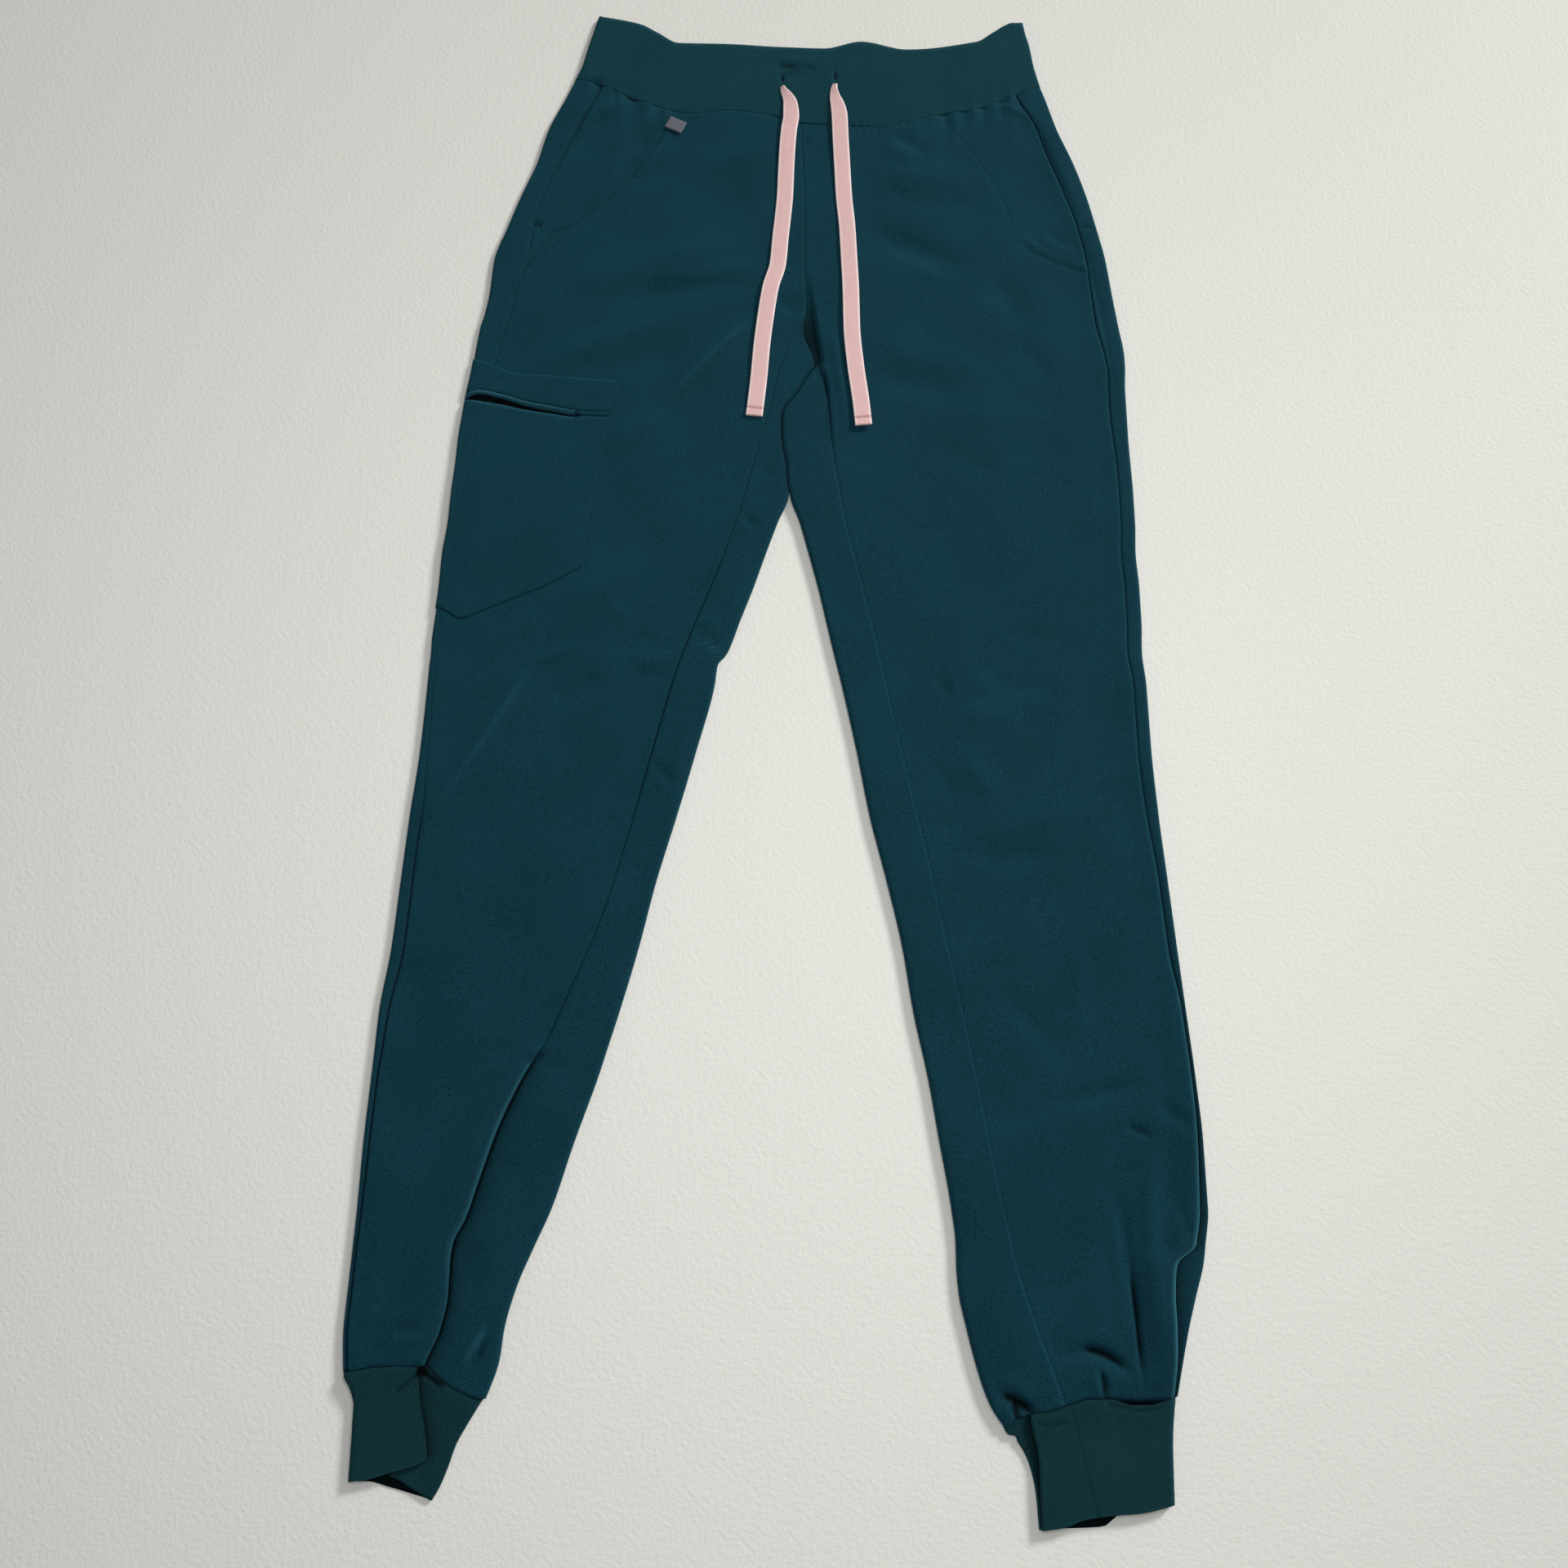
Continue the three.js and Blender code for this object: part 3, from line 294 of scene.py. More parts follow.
tape_turned = add_node(tape_tree, "ShaderNodeMath", {1: -1.0}, operation="MULTIPLY")
tape_hem = add_node(tape_tree, "ShaderNodeMix", data_type="RGBA")
tape_hem.inputs["B"].default_value = TAPE_DARK
tape_tree.links.new(tape_edge.outputs["Fac"], tape_turned.inputs[0])
tape_tree.links.new(tape_turned.outputs[0], tape_hem.inputs["Factor"])
tape_tree.links.new(tape_colour.outputs["Result"], tape_hem.inputs["A"])
tape_tree.links.new(tape_hem.outputs["Result"], tape_shade.inputs["A"])
tape_tree.links.new(tape_mottle.outputs["Fac"], tape_shade.inputs["B"])
tape_tree.links.new(tape_shade.outputs["Result"], tape_shader.inputs["Base Color"])
tape_tree.links.new(tape_pick.outputs["Fac"], tape_bump.inputs["Height"])
tape_tree.links.new(tape_bump.outputs["Normal"], tape_shader.inputs["Normal"])
tape_shader.inputs["Roughness"].default_value = 0.8
tape_shader.inputs["Specular IOR Level"].default_value = 0.2

make_tape("drawstring_end_right", "drawstring_right", RIGHT_TAPE, tape_finish)
make_tape("drawstring_end_left", "drawstring_left", LEFT_TAPE, tape_finish)

# The legs: stretch twill, sewn inside out, so a seam is a narrow groove beside a raised allowance. A
# front panel covers the top from the inseam to the side seam, and a back panel is all the rest. Each
# flattened section is followed by a length: up the inner wall, over the top and round the outer edge.
CLOTH = 0.75
LEAST_HEIGHT = 1.9
GAP = 0.03
SEAM_HALF = 0.8
ALLOWANCE = {"from": 1.0, "from_over": 1.5, "to": 6.0, "to_over": 4, "lift": 0.1}
EDGE_FADE = 12
SETTLE_PASSES = 4
MIN_ROUND = 1.8
STRIP_ROUND = 8
LEAST_STRIP = 0.5
APEX_Y = 128
TOP_NOMINAL = 435
TOP_FADE = 125
ANKLE_FADE = 70

# The centre seam, where the two legs' panels meet above the crotch, and the seam at the waistband.
MEETING = table(["y", "x"], [
    [460, 15], [419, 15], [351, 17], [285, 17.5], [268, 18], [254, 16], [245, 17], [235, 21],
    [224, 24], [217, 20], [209, 15], [199, 9], [193, 4], [186, 1], [173, 1], [161, 2], [150, 4],
    [135, 5], [128, 6],
])
WAIST_SEAM = table(["x", "y"], [
    [-152, 457], [-131, 452], [-114, 443], [-98, 436], [-82, 430], [-64, 427], [-38, 429], [-8, 426],
    [17, 419], [51, 417], [75, 415], [88, 419], [115, 426], [146, 432], [172, 443], [184, 448.5],
    [191, 451],
])
meeting = curve(MEETING, "y", "x")
waist_seam = curve(WAIST_SEAM, "x", "y")

# At each y: where a leg's outer edge is, how wide a strip of its back panel shows there, where its
# inner edge is, and how high it lies. Below them, the seams at the ankles.
LEG_COLUMNS = ["y", "outer", "tuck", "inner", "height"]
RIGHT_SECTIONS = table(LEG_COLUMNS, [
    [460, -148.5, 20, 6, 4.6], [442, -156, 22, 6, 4.6], [414, -168, 21, 6, 4.6],
    [387, -175, 17, 6, 4.6], [360, -185, 16, 6, 4.6], [333, -194, 19, 6, 4.6], [307, -202, 24, 6, 4.7],
    [280, -204, 18, 6, 4.8], [262, -207, 18, 6, 4.8], [254, -209, 18, 6, 4.8],
    [234, -211.5, 16, 6, 4.8], [220, -213, 15, 6, 4.8], [200, -216, 14, 6, 4.8],
    [185, -217.5, 12, 6, 4.8], [170, -219, 11, 6, 4.8], [148, -220, 9, 6, 4.9],
    [128, -221.5, 8, 5.8, 5], [106, -222.5, 7, -2, 5.1], [83, -225, 6, -10, 5.2],
    [59, -226, 5, -18, 5.3], [36, -228, 4, -26.5, 5.4], [20, -229, 4, -32, 5.4],
    [12, -229, 4, -35.5, 5.4], [6, -229.5, 4, -40.8, 5.4], [-9, -230, 4, -42.8, 5.4],
    [-53, -232, 5, -54, 5.4], [-97, -236, 8, -66, 5.4], [-139, -239, 8, -78, 5.5],
    [-181, -242, 8, -88, 5.5], [-221, -247, 6, -99, 5.6], [-241, -248, 5, -105, 5.6],
    [-261, -249, 4, -111, 5.7], [-299, -251, 4, -124, 5.8], [-337, -252, 3, -136, 5.8],
    [-360, -253, 2.5, -146, 5.8], [-382, -254, 2.5, -155, 5.8], [-405, -255, 2.5, -161, 5.8],
    [-422, -254, 2.5, -163, 5.8], [-446, -251, 2.5, -171, 5.8],
])
LEFT_SECTIONS = table(LEG_COLUMNS, [
    [460, 186, 20, 6.4, 4.6], [442, 192, 21, 6.4, 4.6], [414, 200, 15, 6.4, 4.6],
    [387, 210, 17, 6.4, 4.6], [360, 218, 16, 6.4, 4.7], [333, 224, 14, 6.4, 4.8],
    [307, 229, 14, 6.4, 5], [280, 232, 15, 6.4, 5.2], [255, 235, 16, 6.4, 5.4],
    [229, 238, 14, 6.4, 5.6], [222, 238, 13, 6.4, 5.6], [214, 237.5, 12, 6.4, 5.6],
    [204, 237, 12, 6.4, 5.6], [193, 237, 12, 6.4, 5.6], [169, 237, 11, 6.4, 5.6],
    [147, 237.5, 10, 6.4, 5.6], [128, 238, 10, 6.4, 5.6], [106, 238, 10, 13, 5.6],
    [83, 237, 10, 19, 5.6], [59, 238, 10, 25, 5.6], [36, 238, 10, 30, 5.6], [13, 237, 10, 35, 5.6],
    [-9, 238.5, 9, 40, 5.6], [-53, 239, 9, 49, 5.6], [-97, 241, 8, 57, 5.6], [-139, 244, 6, 67, 5.7],
    [-181, 247, 6, 76, 5.8], [-221, 250, 3, 82, 5.8], [-261, 253, 3, 90, 5.9], [-299, 254.9, 4, 96, 6],
    [-337, 255, 6, 102, 6], [-358, 252, 7, 104, 6], [-369, 250, 17, 104, 6], [-385, 245, 14, 105, 6],
    [-405, 239, 8, 109, 6], [-429, 233, 3.5, 115, 6], [-446, 229, 2.5, 121, 6],
    [-460, 226, 2.5, 130, 6],
])
RIGHT_ANKLE = table(["x", "y"], [
    [-256, -429], [-245, -427.5], [-236, -426], [-211, -425], [-206, -425], [-198, -431], [-187, -438],
    [-171, -443], [-160, -443],
])
LEFT_ANKLE = table(["x", "y"], [
    [121, -459], [130, -458], [138, -453], [146, -451], [154, -450], [167, -446], [179, -443],
    [190, -443], [203, -446], [213, -446], [221, -444], [233, -441],
])

# The inseams, where a front panel and a back panel meet. Both end in a point at the crotch.
RIGHT_INSEAM = table(["y", "x"], [
    [262, 17.5], [249, 10], [234, 4], [220, -1], [200, -5.5], [185, -9], [170, -13], [148, -19],
    [117, -27], [87, -36.5], [60, -46], [35, -56], [1, -68], [-30, -76.5], [-62, -84.5], [-112, -97.5],
    [-162, -112], [-198, -126], [-217, -134], [-239, -143], [-248, -149], [-264, -158], [-291, -170],
    [-318, -179], [-344, -187], [-356, -193], [-368, -194.5], [-385, -194.5], [-405, -198], [-422, -205],
    [-430, -208], [-446, -212],
])
LEFT_INSEAM = table(["y", "x"], [
    [226, 25.5], [220, 27.5], [210, 30.5], [196, 33], [180, 34.3], [165, 35], [147, 37], [130, 39.5],
    [105, 43.5], [78, 50], [45, 57.5], [2, 66.5], [-35, 74], [-73, 82], [-117, 91.5], [-181, 104],
    [-255, 118.5], [-322, 130], [-371, 140], [-397, 147.5], [-424, 157], [-446, 164], [-460, 168],
])

# How deep the grooves of the inseam and the side seam are. They hardly show where the cloth lies flat.
DIP_COLUMNS = ["y", "inner", "outer"]
RIGHT_DIPS = table(DIP_COLUMNS, [
    [450, 0.2, 0.6], [400, 0.2, 0.5], [370, 0.15, 0.3], [262, 0.15, 0.2], [120, 0.25, 0.1],
    [50, 0.55, 0.1], [-50, 0.75, 0.2], [-120, 0.4, 0.8], [-240, 0.5, 1.1], [-446, 0.4, 1.2],
])
LEFT_DIPS = table(DIP_COLUMNS, [
    [450, 0.2, 0.5], [425, 0.2, 0.7], [335, 0.2, 0.7], [300, 0.2, 0.7], [190, 0.2, 0.7],
    [100, 0.08, 0.6], [-100, 0.03, 0.7], [-300, 0.02, 0.8], [-446, 0.05, 0.8],
])

# Lips: a front panel is folded forward along its seam there, and overhangs the back panel a little.
# The last column is the painted highlight along the lip's edge, and the back panel beside a lip
# gets painted shadow.
LIP_ROUND = 3
LIP_COLUMNS = ["y", "rise", "reach", "hang", "worn"]
RIGHT_INNER_LIP = table(LIP_COLUMNS, [
    [-240, 0, 20, 0, 0], [-256, 2.2, 24, 0.8, 0.3], [-290, 3.4, 32, 1.2, 0.4], [-345, 4.2, 34, 1.6, 0.3],
    [-385, 4.2, 32, 1.6, 0.1], [-446, 3.8, 28, 1.4, 0.05],
])
LEFT_INNER_LIP = table(LIP_COLUMNS, [
    [226, 0, 16, 0, 0], [212, 1, 20, 0.4, 0], [185, 0.9, 22, 0.2, 0], [150, 0.3, 24, 0, 0],
    [100, 0, 20, 0, 0],
])
LEFT_OUTER_LIP = table(LIP_COLUMNS, [
    [60, 0.4, 10, 0, 0], [-90, 0.6, 12, 0.1, 0.05], [-200, 1.3, 14, 0.2, 0.15], [-290, 2, 16, 0.6, 0.35],
    [-340, 3, 18, 0.9, 0.6], [-368, 4, 20, 1.2, 0.9], [-405, 3.6, 20, 1.2, 0.9], [-442, 1.6, 14, 0.6, 0.5],
])

# Folds: soft ridges, or troughs where the height is negative, each from one point by a bend to
# another. A wide fold is raised more, a narrow deep trough also gets painted shade, and the crest
# of a narrow ridge gets a little painted highlight.
FOLD_COLUMNS = ["from_x", "from_y", "bend_x", "bend_y", "to_x", "to_y", "width", "height"]
RIGHT_FOLDS = table(FOLD_COLUMNS, [
    [-10, 268, -52, 230, -88, 182, 7, 2.0],
    [-12, 266, -54, 230, -89, 181, 2.2, 0.65],
    [-80, 190, -96, 172, -124, 158, 8, 1.3],
    [-84, 432, -108, 416, -130, 382, 4.5, 2.1],
    [-112, 441, -134, 432, -151, 398, 4, 1.9],
    [-90, 416, -101, 396, -122, 368, 6, -1.5],
    [-122, 430, -138, 412, -148, 386, 7, -1.2],
    [-131, 450, -143, 425, -153, 392, 1.3, -0.8],
    [-174, 390, -164, 403, -146, 411, 2.6, 0.9],
    [-160, 284, -96, 296, -14, 330, 15, 2.2],
    [-88, 290, -50, 292, -8, 304, 7, 0.9],
    [-124, 272, -70, 286, -14, 288, 8, -1.0],
    [-178, 220, -118, 238, -44, 274, 11, 1.7],
    [-150, 216, -100, 226, -52, 236, 10, -0.7],
    [-124, 366, -92, 376, -50, 388, 9, -0.8],
    [-84, 372, -40, 386, 2, 404, 11, 1.0],
    [-60, 352, -40, 352, -4, 362, 10, -0.5],
    [-6, 276, 6, 272, 14, 262, 6, -1.0],
    [-168, 8, -150, 6, -124, 24, 4, 1.5],
    [-158, 10, -180, -34, -228, -104, 6.5, 2.0],
    [-160, 8, -182, -34, -226, -102, 2.2, 0.6],
    [-152, -22, -132, -12, -112, 2, 10, -1.3],
    [-108, 14, -92, 24, -78, 22, 5, -0.9],
    [-100, 8, -84, 7, -66, 12, 4, 1.0],
    [-100, -5, -86, -3, -74, 0, 4.5, -1.0],
    [-142, 44, -118, 56, -84, 90, 8, 1.0],
    [-118, 52, -108, 44, -96, 30, 4, 0.8],
    [-205, -64, -228, -104, -230, -150, 9, 1.2],
    [-26, 114, -21, 107, -15, 101, 2.2, -1.1],
    [-30, 105, -24, 99, -18, 96, 2.4, 0.6],
    [-15, 150, -10, 143, -5, 138, 3, -0.7],
    [-56, 36, -46, 34, -38, 31, 2.4, 0.9],
    [-56, 29, -46, 23, -38, 17, 2, -1.4],
    [-53, 24, -43, 15, -37, 9, 1.8, 1.1],
    [-84, -61, -74, -65, -66, -80, 3, -1.1],
    [-82, -70, -76, -74, -72, -84, 3.4, 0.6],
    [-58, -28, -62, -60, -70, -92, 5, 0.8],
    [-146, -188, -152, -214, -168, -252, 6, 1.0],
    [-196, -272, -178, -258, -162, -248, 5, 0.5],
    [-142, -240, -148, -245, -156, -249, 3, 1.3],
    [-140, -244, -147, -248, -156, -252, 1.8, -1.8],
    [-128, -237, -136, -236, -143, -239, 2, -0.9],
    [-126, -256, -138, -252, -147, -253, 2.6, -0.9],
    [-176, -314, -162, -312, -148, -320, 4, -0.7],
    [-188, -352, -178, -366, -186, -392, 8, -1.5],
    [-236, -400, -225, -397, -208, -398, 4, 0.7],
    [-226, -405, -218, -406, -208, -402, 3.4, -0.8],
    [-232, -414, -218, -410, -202, -411, 3.2, 0.8],
    [-249, -424, -246, -419, -242, -416, 2.4, 1.0],
    [-238, -356, -240, -390, -240, -412, 7, 0.7],
    [-170, -401, -177, -413, -186, -427, 2.2, 1.5],
    [-167, -405, -174, -416, -180, -430, 1.8, -1.7],
    [-163, -408, -166, -420, -170, -434, 3, 1.0],
    [-222, -434, -214, -428, -207, -424, 3, -1.2],
])
LEFT_FOLDS = table(FOLD_COLUMNS, [
    [33, 262, 40, 222, 47, 172, 4.5, 1.3],
    [28.5, 224, 31.5, 210, 33.5, 192, 1.5, -1.6],
    [182, 428, 195, 386, 214, 330, 1.2, -1.1],
    [174, 430, 184, 405, 190, 386, 7, -0.6],
    [213, 334, 222, 270, 232, 190, 1.5, -0.8],
    [209, 330, 219, 270, 227, 215, 3, 0.5],
    [154, 434, 168, 432, 178, 424, 3, 0.8],
    [58, 330, 96, 316, 140, 294, 10, -1.5],
    [140, 294, 164, 276, 178, 244, 11, -1.0],
    [56, 311, 64, 311, 76, 313, 5, -0.7],
    [60, 218, 90, 206, 140, 200, 11, -1.2],
    [64, 236, 110, 226, 150, 220, 10, 0.6],
    [160, 250, 174, 228, 188, 202, 9, -0.8],
    [76, 408, 96, 404, 108, 388, 4.5, -0.9],
    [72, 398, 86, 396, 96, 386, 6, 0.8],
    [89, 364, 86, 360, 82, 357, 1.6, -0.8],
    [60, 376, 100, 372, 140, 376, 9, 0.8],
    [70, 356, 110, 350, 150, 356, 9, -0.7],
    [180, 326, 194, 318, 210, 306, 4, 0.8],
    [186, 326, 194, 322, 202, 314, 4, -0.7],
    [20, 409, 17, 404, 16, 396, 3, -0.8],
    [100, 160, 130, 150, 156, 138, 10, -0.8],
    [120, 184, 160, 180, 190, 186, 10, 0.6],
    [118, -8, 130, -10, 140, -8, 7, 0.8],
    [138, -13, 160, -8, 186, -13, 5, -1.3],
    [112, -28, 135, -34, 158, -30, 8, 1.0],
    [100, -2, 106, -12, 112, -22, 4, -0.8],
    [116, -52, 126, -74, 140, -86, 7, 1.0],
    [100, -60, 106, -78, 116, -92, 7, -0.7],
    [116, -108, 150, -106, 200, -88, 9, 1.0],
    [120, -126, 145, -124, 178, -120, 8, -1.0],
    [150, 24, 170, 26, 190, 18, 6, -0.6],
    [134, -204, 150, -224, 178, -254, 8, -0.7],
    [184, -170, 182, -210, 184, -250, 7, 0.6],
    [124, -292, 152, -282, 182, -272, 6, -1.2],
    [166, -276, 190, -270, 224, -263, 4.5, -1.9],
    [170, -288, 196, -284, 216, -280, 7, 0.8],
    [207, -290, 216, -290, 226, -297, 2.4, -1.5],
    [226, -274, 238, -284, 254, -293, 4.5, -1.3],
    [222, -298, 217, -352, 220, -430, 6, 1.8],
    [200, -322, 206, -362, 207, -415, 4.5, -1.9],
    [206, -362, 209, -398, 210, -442, 1.8, -2.2],
    [190, -340, 196, -380, 198, -410, 8, -0.8],
    [234, -326, 240, -344, 243, -360, 4, -0.9],
    [156, -428, 179, -406, 206, -434, 4.5, -2.2],
    [172, -417, 188, -413, 205, -431, 2.6, -2.3],
    [160, -416, 178, -402, 198, -412, 5, 0.9],
    [184, -426, 190, -434, 186, -446, 2, -2.0],
    [180, -428, 184, -436, 182, -442, 3, 0.8],
    [124, -441, 138, -441, 149, -455, 2.6, -3.0],
    [134, -444, 136, -450, 137, -458, 2, -2.4],
    [122, -434, 136, -432, 150, -444, 4, 1.2],
    [126, -452, 132, -450, 136, -456, 2.4, 1.2],
    [184, -443, 206, -448, 231, -443, 2.2, -2.4],
    [186, -432, 206, -434, 226, -428, 4, 0.9],
])
# The leg that lies on the right sinks steeply beside the centre seam, above the crotch, and the
# valley gets painted shade.
VALLEY = table(["y", "right", "depth"], [
    [294, 18, 0], [284, 19.6, 1.4], [270, 21.6, 2.6], [255, 23.6, 3.3], [240, 25.8, 3.5], [228, 27.6, 3.3],
    [218, 27, 1.5], [210, 26, 0],
])
valley_right = curve(VALLEY, "y", "right")
valley_depth = curve(VALLEY, "y", "depth")
# The cloth behind the thigh pocket's mouth sinks, so that the mouth stands open, and it gets
# painted shade.
SLIT = {
    "line": [[-230, 199], [-208, 198.6], [-192, 195.8], [-174, 191.2], [-156, 188.1], [-135, 184.8]],
    "width": 2.1, "height": -2.7,
}
# The bags of the side-seam pockets are sewn to the fronts from behind. The stitches draw a narrow
# groove, and the bag's edge stands up a little beside it.
BAG_RIGHT = [
    [-79, 420], [-88, 405], [-95, 392], [-104, 378], [-113, 366], [-122, 356], [-132, 347], [-142, 339],
    [-152, 331], [-162, 323], [-170, 315], [-177, 306], [-181, 296], [-183, 285],
]
BAG_LEFT = [
    [112, 430], [120, 418], [130, 405], [140, 390], [150, 374], [158, 354], [163, 336], [168, 322],
    [176, 313], [186, 307], [200, 301], [217, 294],
]
BAG_SEAMS = [
    {"side": -1, "line": BAG_RIGHT, "width": 1.2, "height": -0.9},
    {"side": -1, "line": [[x + 1.6, y - 2.4] for x, y in BAG_RIGHT], "width": 2.2, "height": 0.55},
    {"side": -1, "line": [[x - 3, y + 4] for x, y in BAG_RIGHT[1:11]], "width": 3.6, "height": -0.5},
    {"side": -1, "line": [[-145, 326], [-160, 317], [-172, 307], [-180, 295]], "width": 1.2, "height": -0.7},
    {"side": -1, "line": [[-148, 333], [-160, 330], [-168, 322], [-178, 308]], "width": 1.2, "height": -0.6},
    {"side": -1, "line": [[-177, 335], [-169, 335]], "width": 2.2, "height": -1.5},
    {"side": 1, "line": BAG_LEFT[:8], "width": 1.3, "height": -0.25},
    {"side": 1, "line": BAG_LEFT[7:], "width": 1.3, "height": -0.42},
    {"side": 1, "line": [[x + 2.4, y + 4] for x, y in BAG_LEFT[7:]], "width": 2.6, "height": 0.5},
    {"side": 1, "line": [[212, 333], [221, 333]], "width": 2.0, "height": -1.2},
]
FOLD_STEPS = 12
FOLD_TIP = 0.06
FOLD_TAPER = 2.6
SEWN_TAPER = 9
WIDE_FOLD = {"from": 5, "over": 4, "more": 0.6}
DARK_TROUGH = {"width": 3.5, "height": -0.9}
PAINTED_CREST_HIGHLIGHT = {"width": 2.3, "share": 0.16}


def fold_line(row):
    """A fold's middle line as points of a bend."""
    t = np.linspace(0, 1, FOLD_STEPS + 1)[:, None]
    start = np.array([row["from_x"], row["from_y"]], float)
    bend = np.array([row["bend_x"], row["bend_y"]], float)
    end = np.array([row["to_x"], row["to_y"]], float)
    points = start * (1 - t) ** 2 + bend * 2 * t * (1 - t) + end * t * t
    stronger = 1 + WIDE_FOLD["more"] * smooth((row["width"] - WIDE_FOLD["from"]) / WIDE_FOLD["over"])
    return {
        "points": points, "width": row["width"], "height": row["height"] * stronger, "taper": FOLD_TAPER,
    }


def sewn_line(row):
    """A line of any bends, as the points of as many even steps as a fold has."""
    line = np.array(row["line"], float)
    run = np.concatenate([[0], np.cumsum(np.hypot(*np.diff(line, axis=0).T))])
    even = np.linspace(0, run[-1], FOLD_STEPS + 1)
    points = np.stack([np.interp(even, run, line[:, k]) for k in (0, 1)], axis=1)
    return {"points": points, "width": row["width"], "height": row["height"], "taper": SEWN_TAPER}


def fold_lift(lines, x, y):
    """How far the folds lift the cloth at points: full along each line, fading to its sides and ends."""
    total = np.zeros(x.shape)
    for line in lines:
        points, width = line["points"], line["width"]
        low = points.min(0) - 3 * width
        high = points.max(0) + 3 * width
        near = (x > low[0]) & (x < high[0]) & (y > low[1]) & (y < high[1])
        if not near.any():
            continue
        px, py = x[near], y[near]
        nearest = np.full(px.shape, np.inf)
        place = np.zeros(px.shape)
        for i in range(FOLD_STEPS):
            a, b = points[i], points[i + 1]
            length = ((b - a) ** 2).sum()
            t = np.clip(((px - a[0]) * (b[0] - a[0]) + (py - a[1]) * (b[1] - a[1])) / length, 0, 1)
            distance = np.hypot(px - lerp(a[0], b[0], t), py - lerp(a[1], b[1], t))
            closer = distance < nearest
            nearest = np.where(closer, distance, nearest)
            place = np.where(closer, (i + t) / FOLD_STEPS, place)
        ends = smooth(np.minimum(place, 1 - place) * line["taper"] + FOLD_TIP)
        total[near] += line["height"] * ends * hump(nearest, width)
    return total


def make_leg(side, sections, inseam, dips, ankle, folds, lips, star, ankle_nominal):
    """What one leg is made from. side is -1 for the right leg, and 1 for the left one. Its star row
    is the last one whose front reaches the meeting line."""
    leg = {key: curve(sections, "y", key) for key in LEG_COLUMNS[1:]}
    leg["side"], leg["star"], leg["ankle_nominal"] = side, star, ankle_nominal
    leg["inner_dip"], leg["outer_dip"] = curve(dips, "y", "inner"), curve(dips, "y", "outer")
    leg["ankle"], leg["inseam"] = curve(ankle, "x", "y"), curve(inseam, "y", "x")
    bags = [row for row in BAG_SEAMS if row["side"] == side]
    troughs = [
        row["width"] < DARK_TROUGH["width"] and row["height"] < DARK_TROUGH["height"] for row in folds
    ]
    crests = [row["width"] < PAINTED_CREST_HIGHLIGHT["width"] and row["height"] > 0 for row in folds]
    leg["folds"] = [fold_line(row) for row, dark in zip(folds, troughs) if not dark]
    leg["folds"] += [sewn_line(row) for row in bags if row["height"] > 0]
    leg["creases"] = [fold_line(row) for row, dark in zip(folds, troughs) if dark]
    leg["creases"] += [sewn_line(row) for row in bags if row["height"] < 0]
    leg["crests"] = [fold_line(row) for row, light in zip(folds, crests) if light]
    leg["lips"] = [
        {"seam": seam, **{key: curve(rows, "y", key) for key in LIP_COLUMNS[1:]}} for seam, rows in lips
    ]
    return leg


RIGHT = make_leg(
    -1, RIGHT_SECTIONS, RIGHT_INSEAM, RIGHT_DIPS, RIGHT_ANKLE, RIGHT_FOLDS,
    [("inner", RIGHT_INNER_LIP)], star=262, ankle_nominal=-430,
)
LEFT = make_leg(
    1, LEFT_SECTIONS, LEFT_INSEAM, LEFT_DIPS, LEFT_ANKLE, LEFT_FOLDS,
    [("inner", LEFT_INNER_LIP), ("outer", LEFT_OUTER_LIP)], star=226, ankle_nominal=-446,
)


def section(leg, y):
    """The leg's flattened section at each y."""
    inner = np.where(y > APEX_Y, meeting(y) + leg["side"] * GAP / 2, leg["inner"](y))
    height = leg["height"](y)
    strip = np.maximum(leg["side"] * (leg["inseam"](y) - inner), LEAST_STRIP)
    strip = np.where(y >= leg["star"], 0, strip)
    width = leg["side"] * (leg["outer"](y) - inner)
    top_round = np.where(strip > 0, height / 2 * smooth(strip / STRIP_ROUND), 0)
    low_round = np.where(y > leg["star"], 0, np.maximum(MIN_ROUND, top_round))
    outer_round = height / 2
    wall_start = low_round * np.pi / 2
    wall_end = wall_start + height - low_round - top_round
    top_start = wall_end + top_round * np.pi / 2
    top_end = top_start + width - top_round - outer_round
    return {
        "leg": leg, "y": y, "inner": inner, "height": height, "strip": strip, "width": width,
        "top_round": top_round, "low_round": low_round, "outer_round": outer_round,
        "wall_start": wall_start, "wall_end": wall_end, "top_start": top_start, "top_end": top_end,
        "tuck": leg["tuck"](y), "end": top_end + outer_round * np.pi,
    }


def skin(at, length):
    """Points of the skin at lengths round the section: across, up, and the outward normal."""
    height, width = at["height"], at["width"]
    low, top, outer = at["low_round"], at["top_round"], at["outer_round"]
    low_turn = length / np.maximum(low, 1e-6)
    top_turn = (length - at["wall_end"]) / np.maximum(top, 1e-6)
    out_turn = np.minimum((length - at["top_end"]) / outer, np.pi)
    zero, one = np.zeros_like(length), np.ones_like(length)
    where = [
        length <= 0, length < at["wall_start"], length < at["wall_end"], length < at["top_start"],
        length <= at["top_end"],
    ]

    def pick(*choices):
        return np.select(where, choices[:-1], choices[-1])

    across = pick(
        low - length, low * (1 - np.sin(low_turn)), zero, top * (1 - np.cos(top_turn)),
        top + length - at["top_start"], width - outer * (1 - np.sin(out_turn)),
    )
    up = pick(
        zero, low * (1 - np.cos(low_turn)), low + length - at["wall_start"],
        height - top * (1 - np.sin(top_turn)), height + zero, height - outer * (1 - np.cos(out_turn)),
    )
    normal_across = pick(zero, -np.sin(low_turn), -one, -np.cos(top_turn), zero, np.sin(out_turn))
    normal_up = pick(-one, -np.cos(low_turn), zero, np.sin(top_turn), one, np.cos(out_turn))
    return across, up, normal_across, normal_up


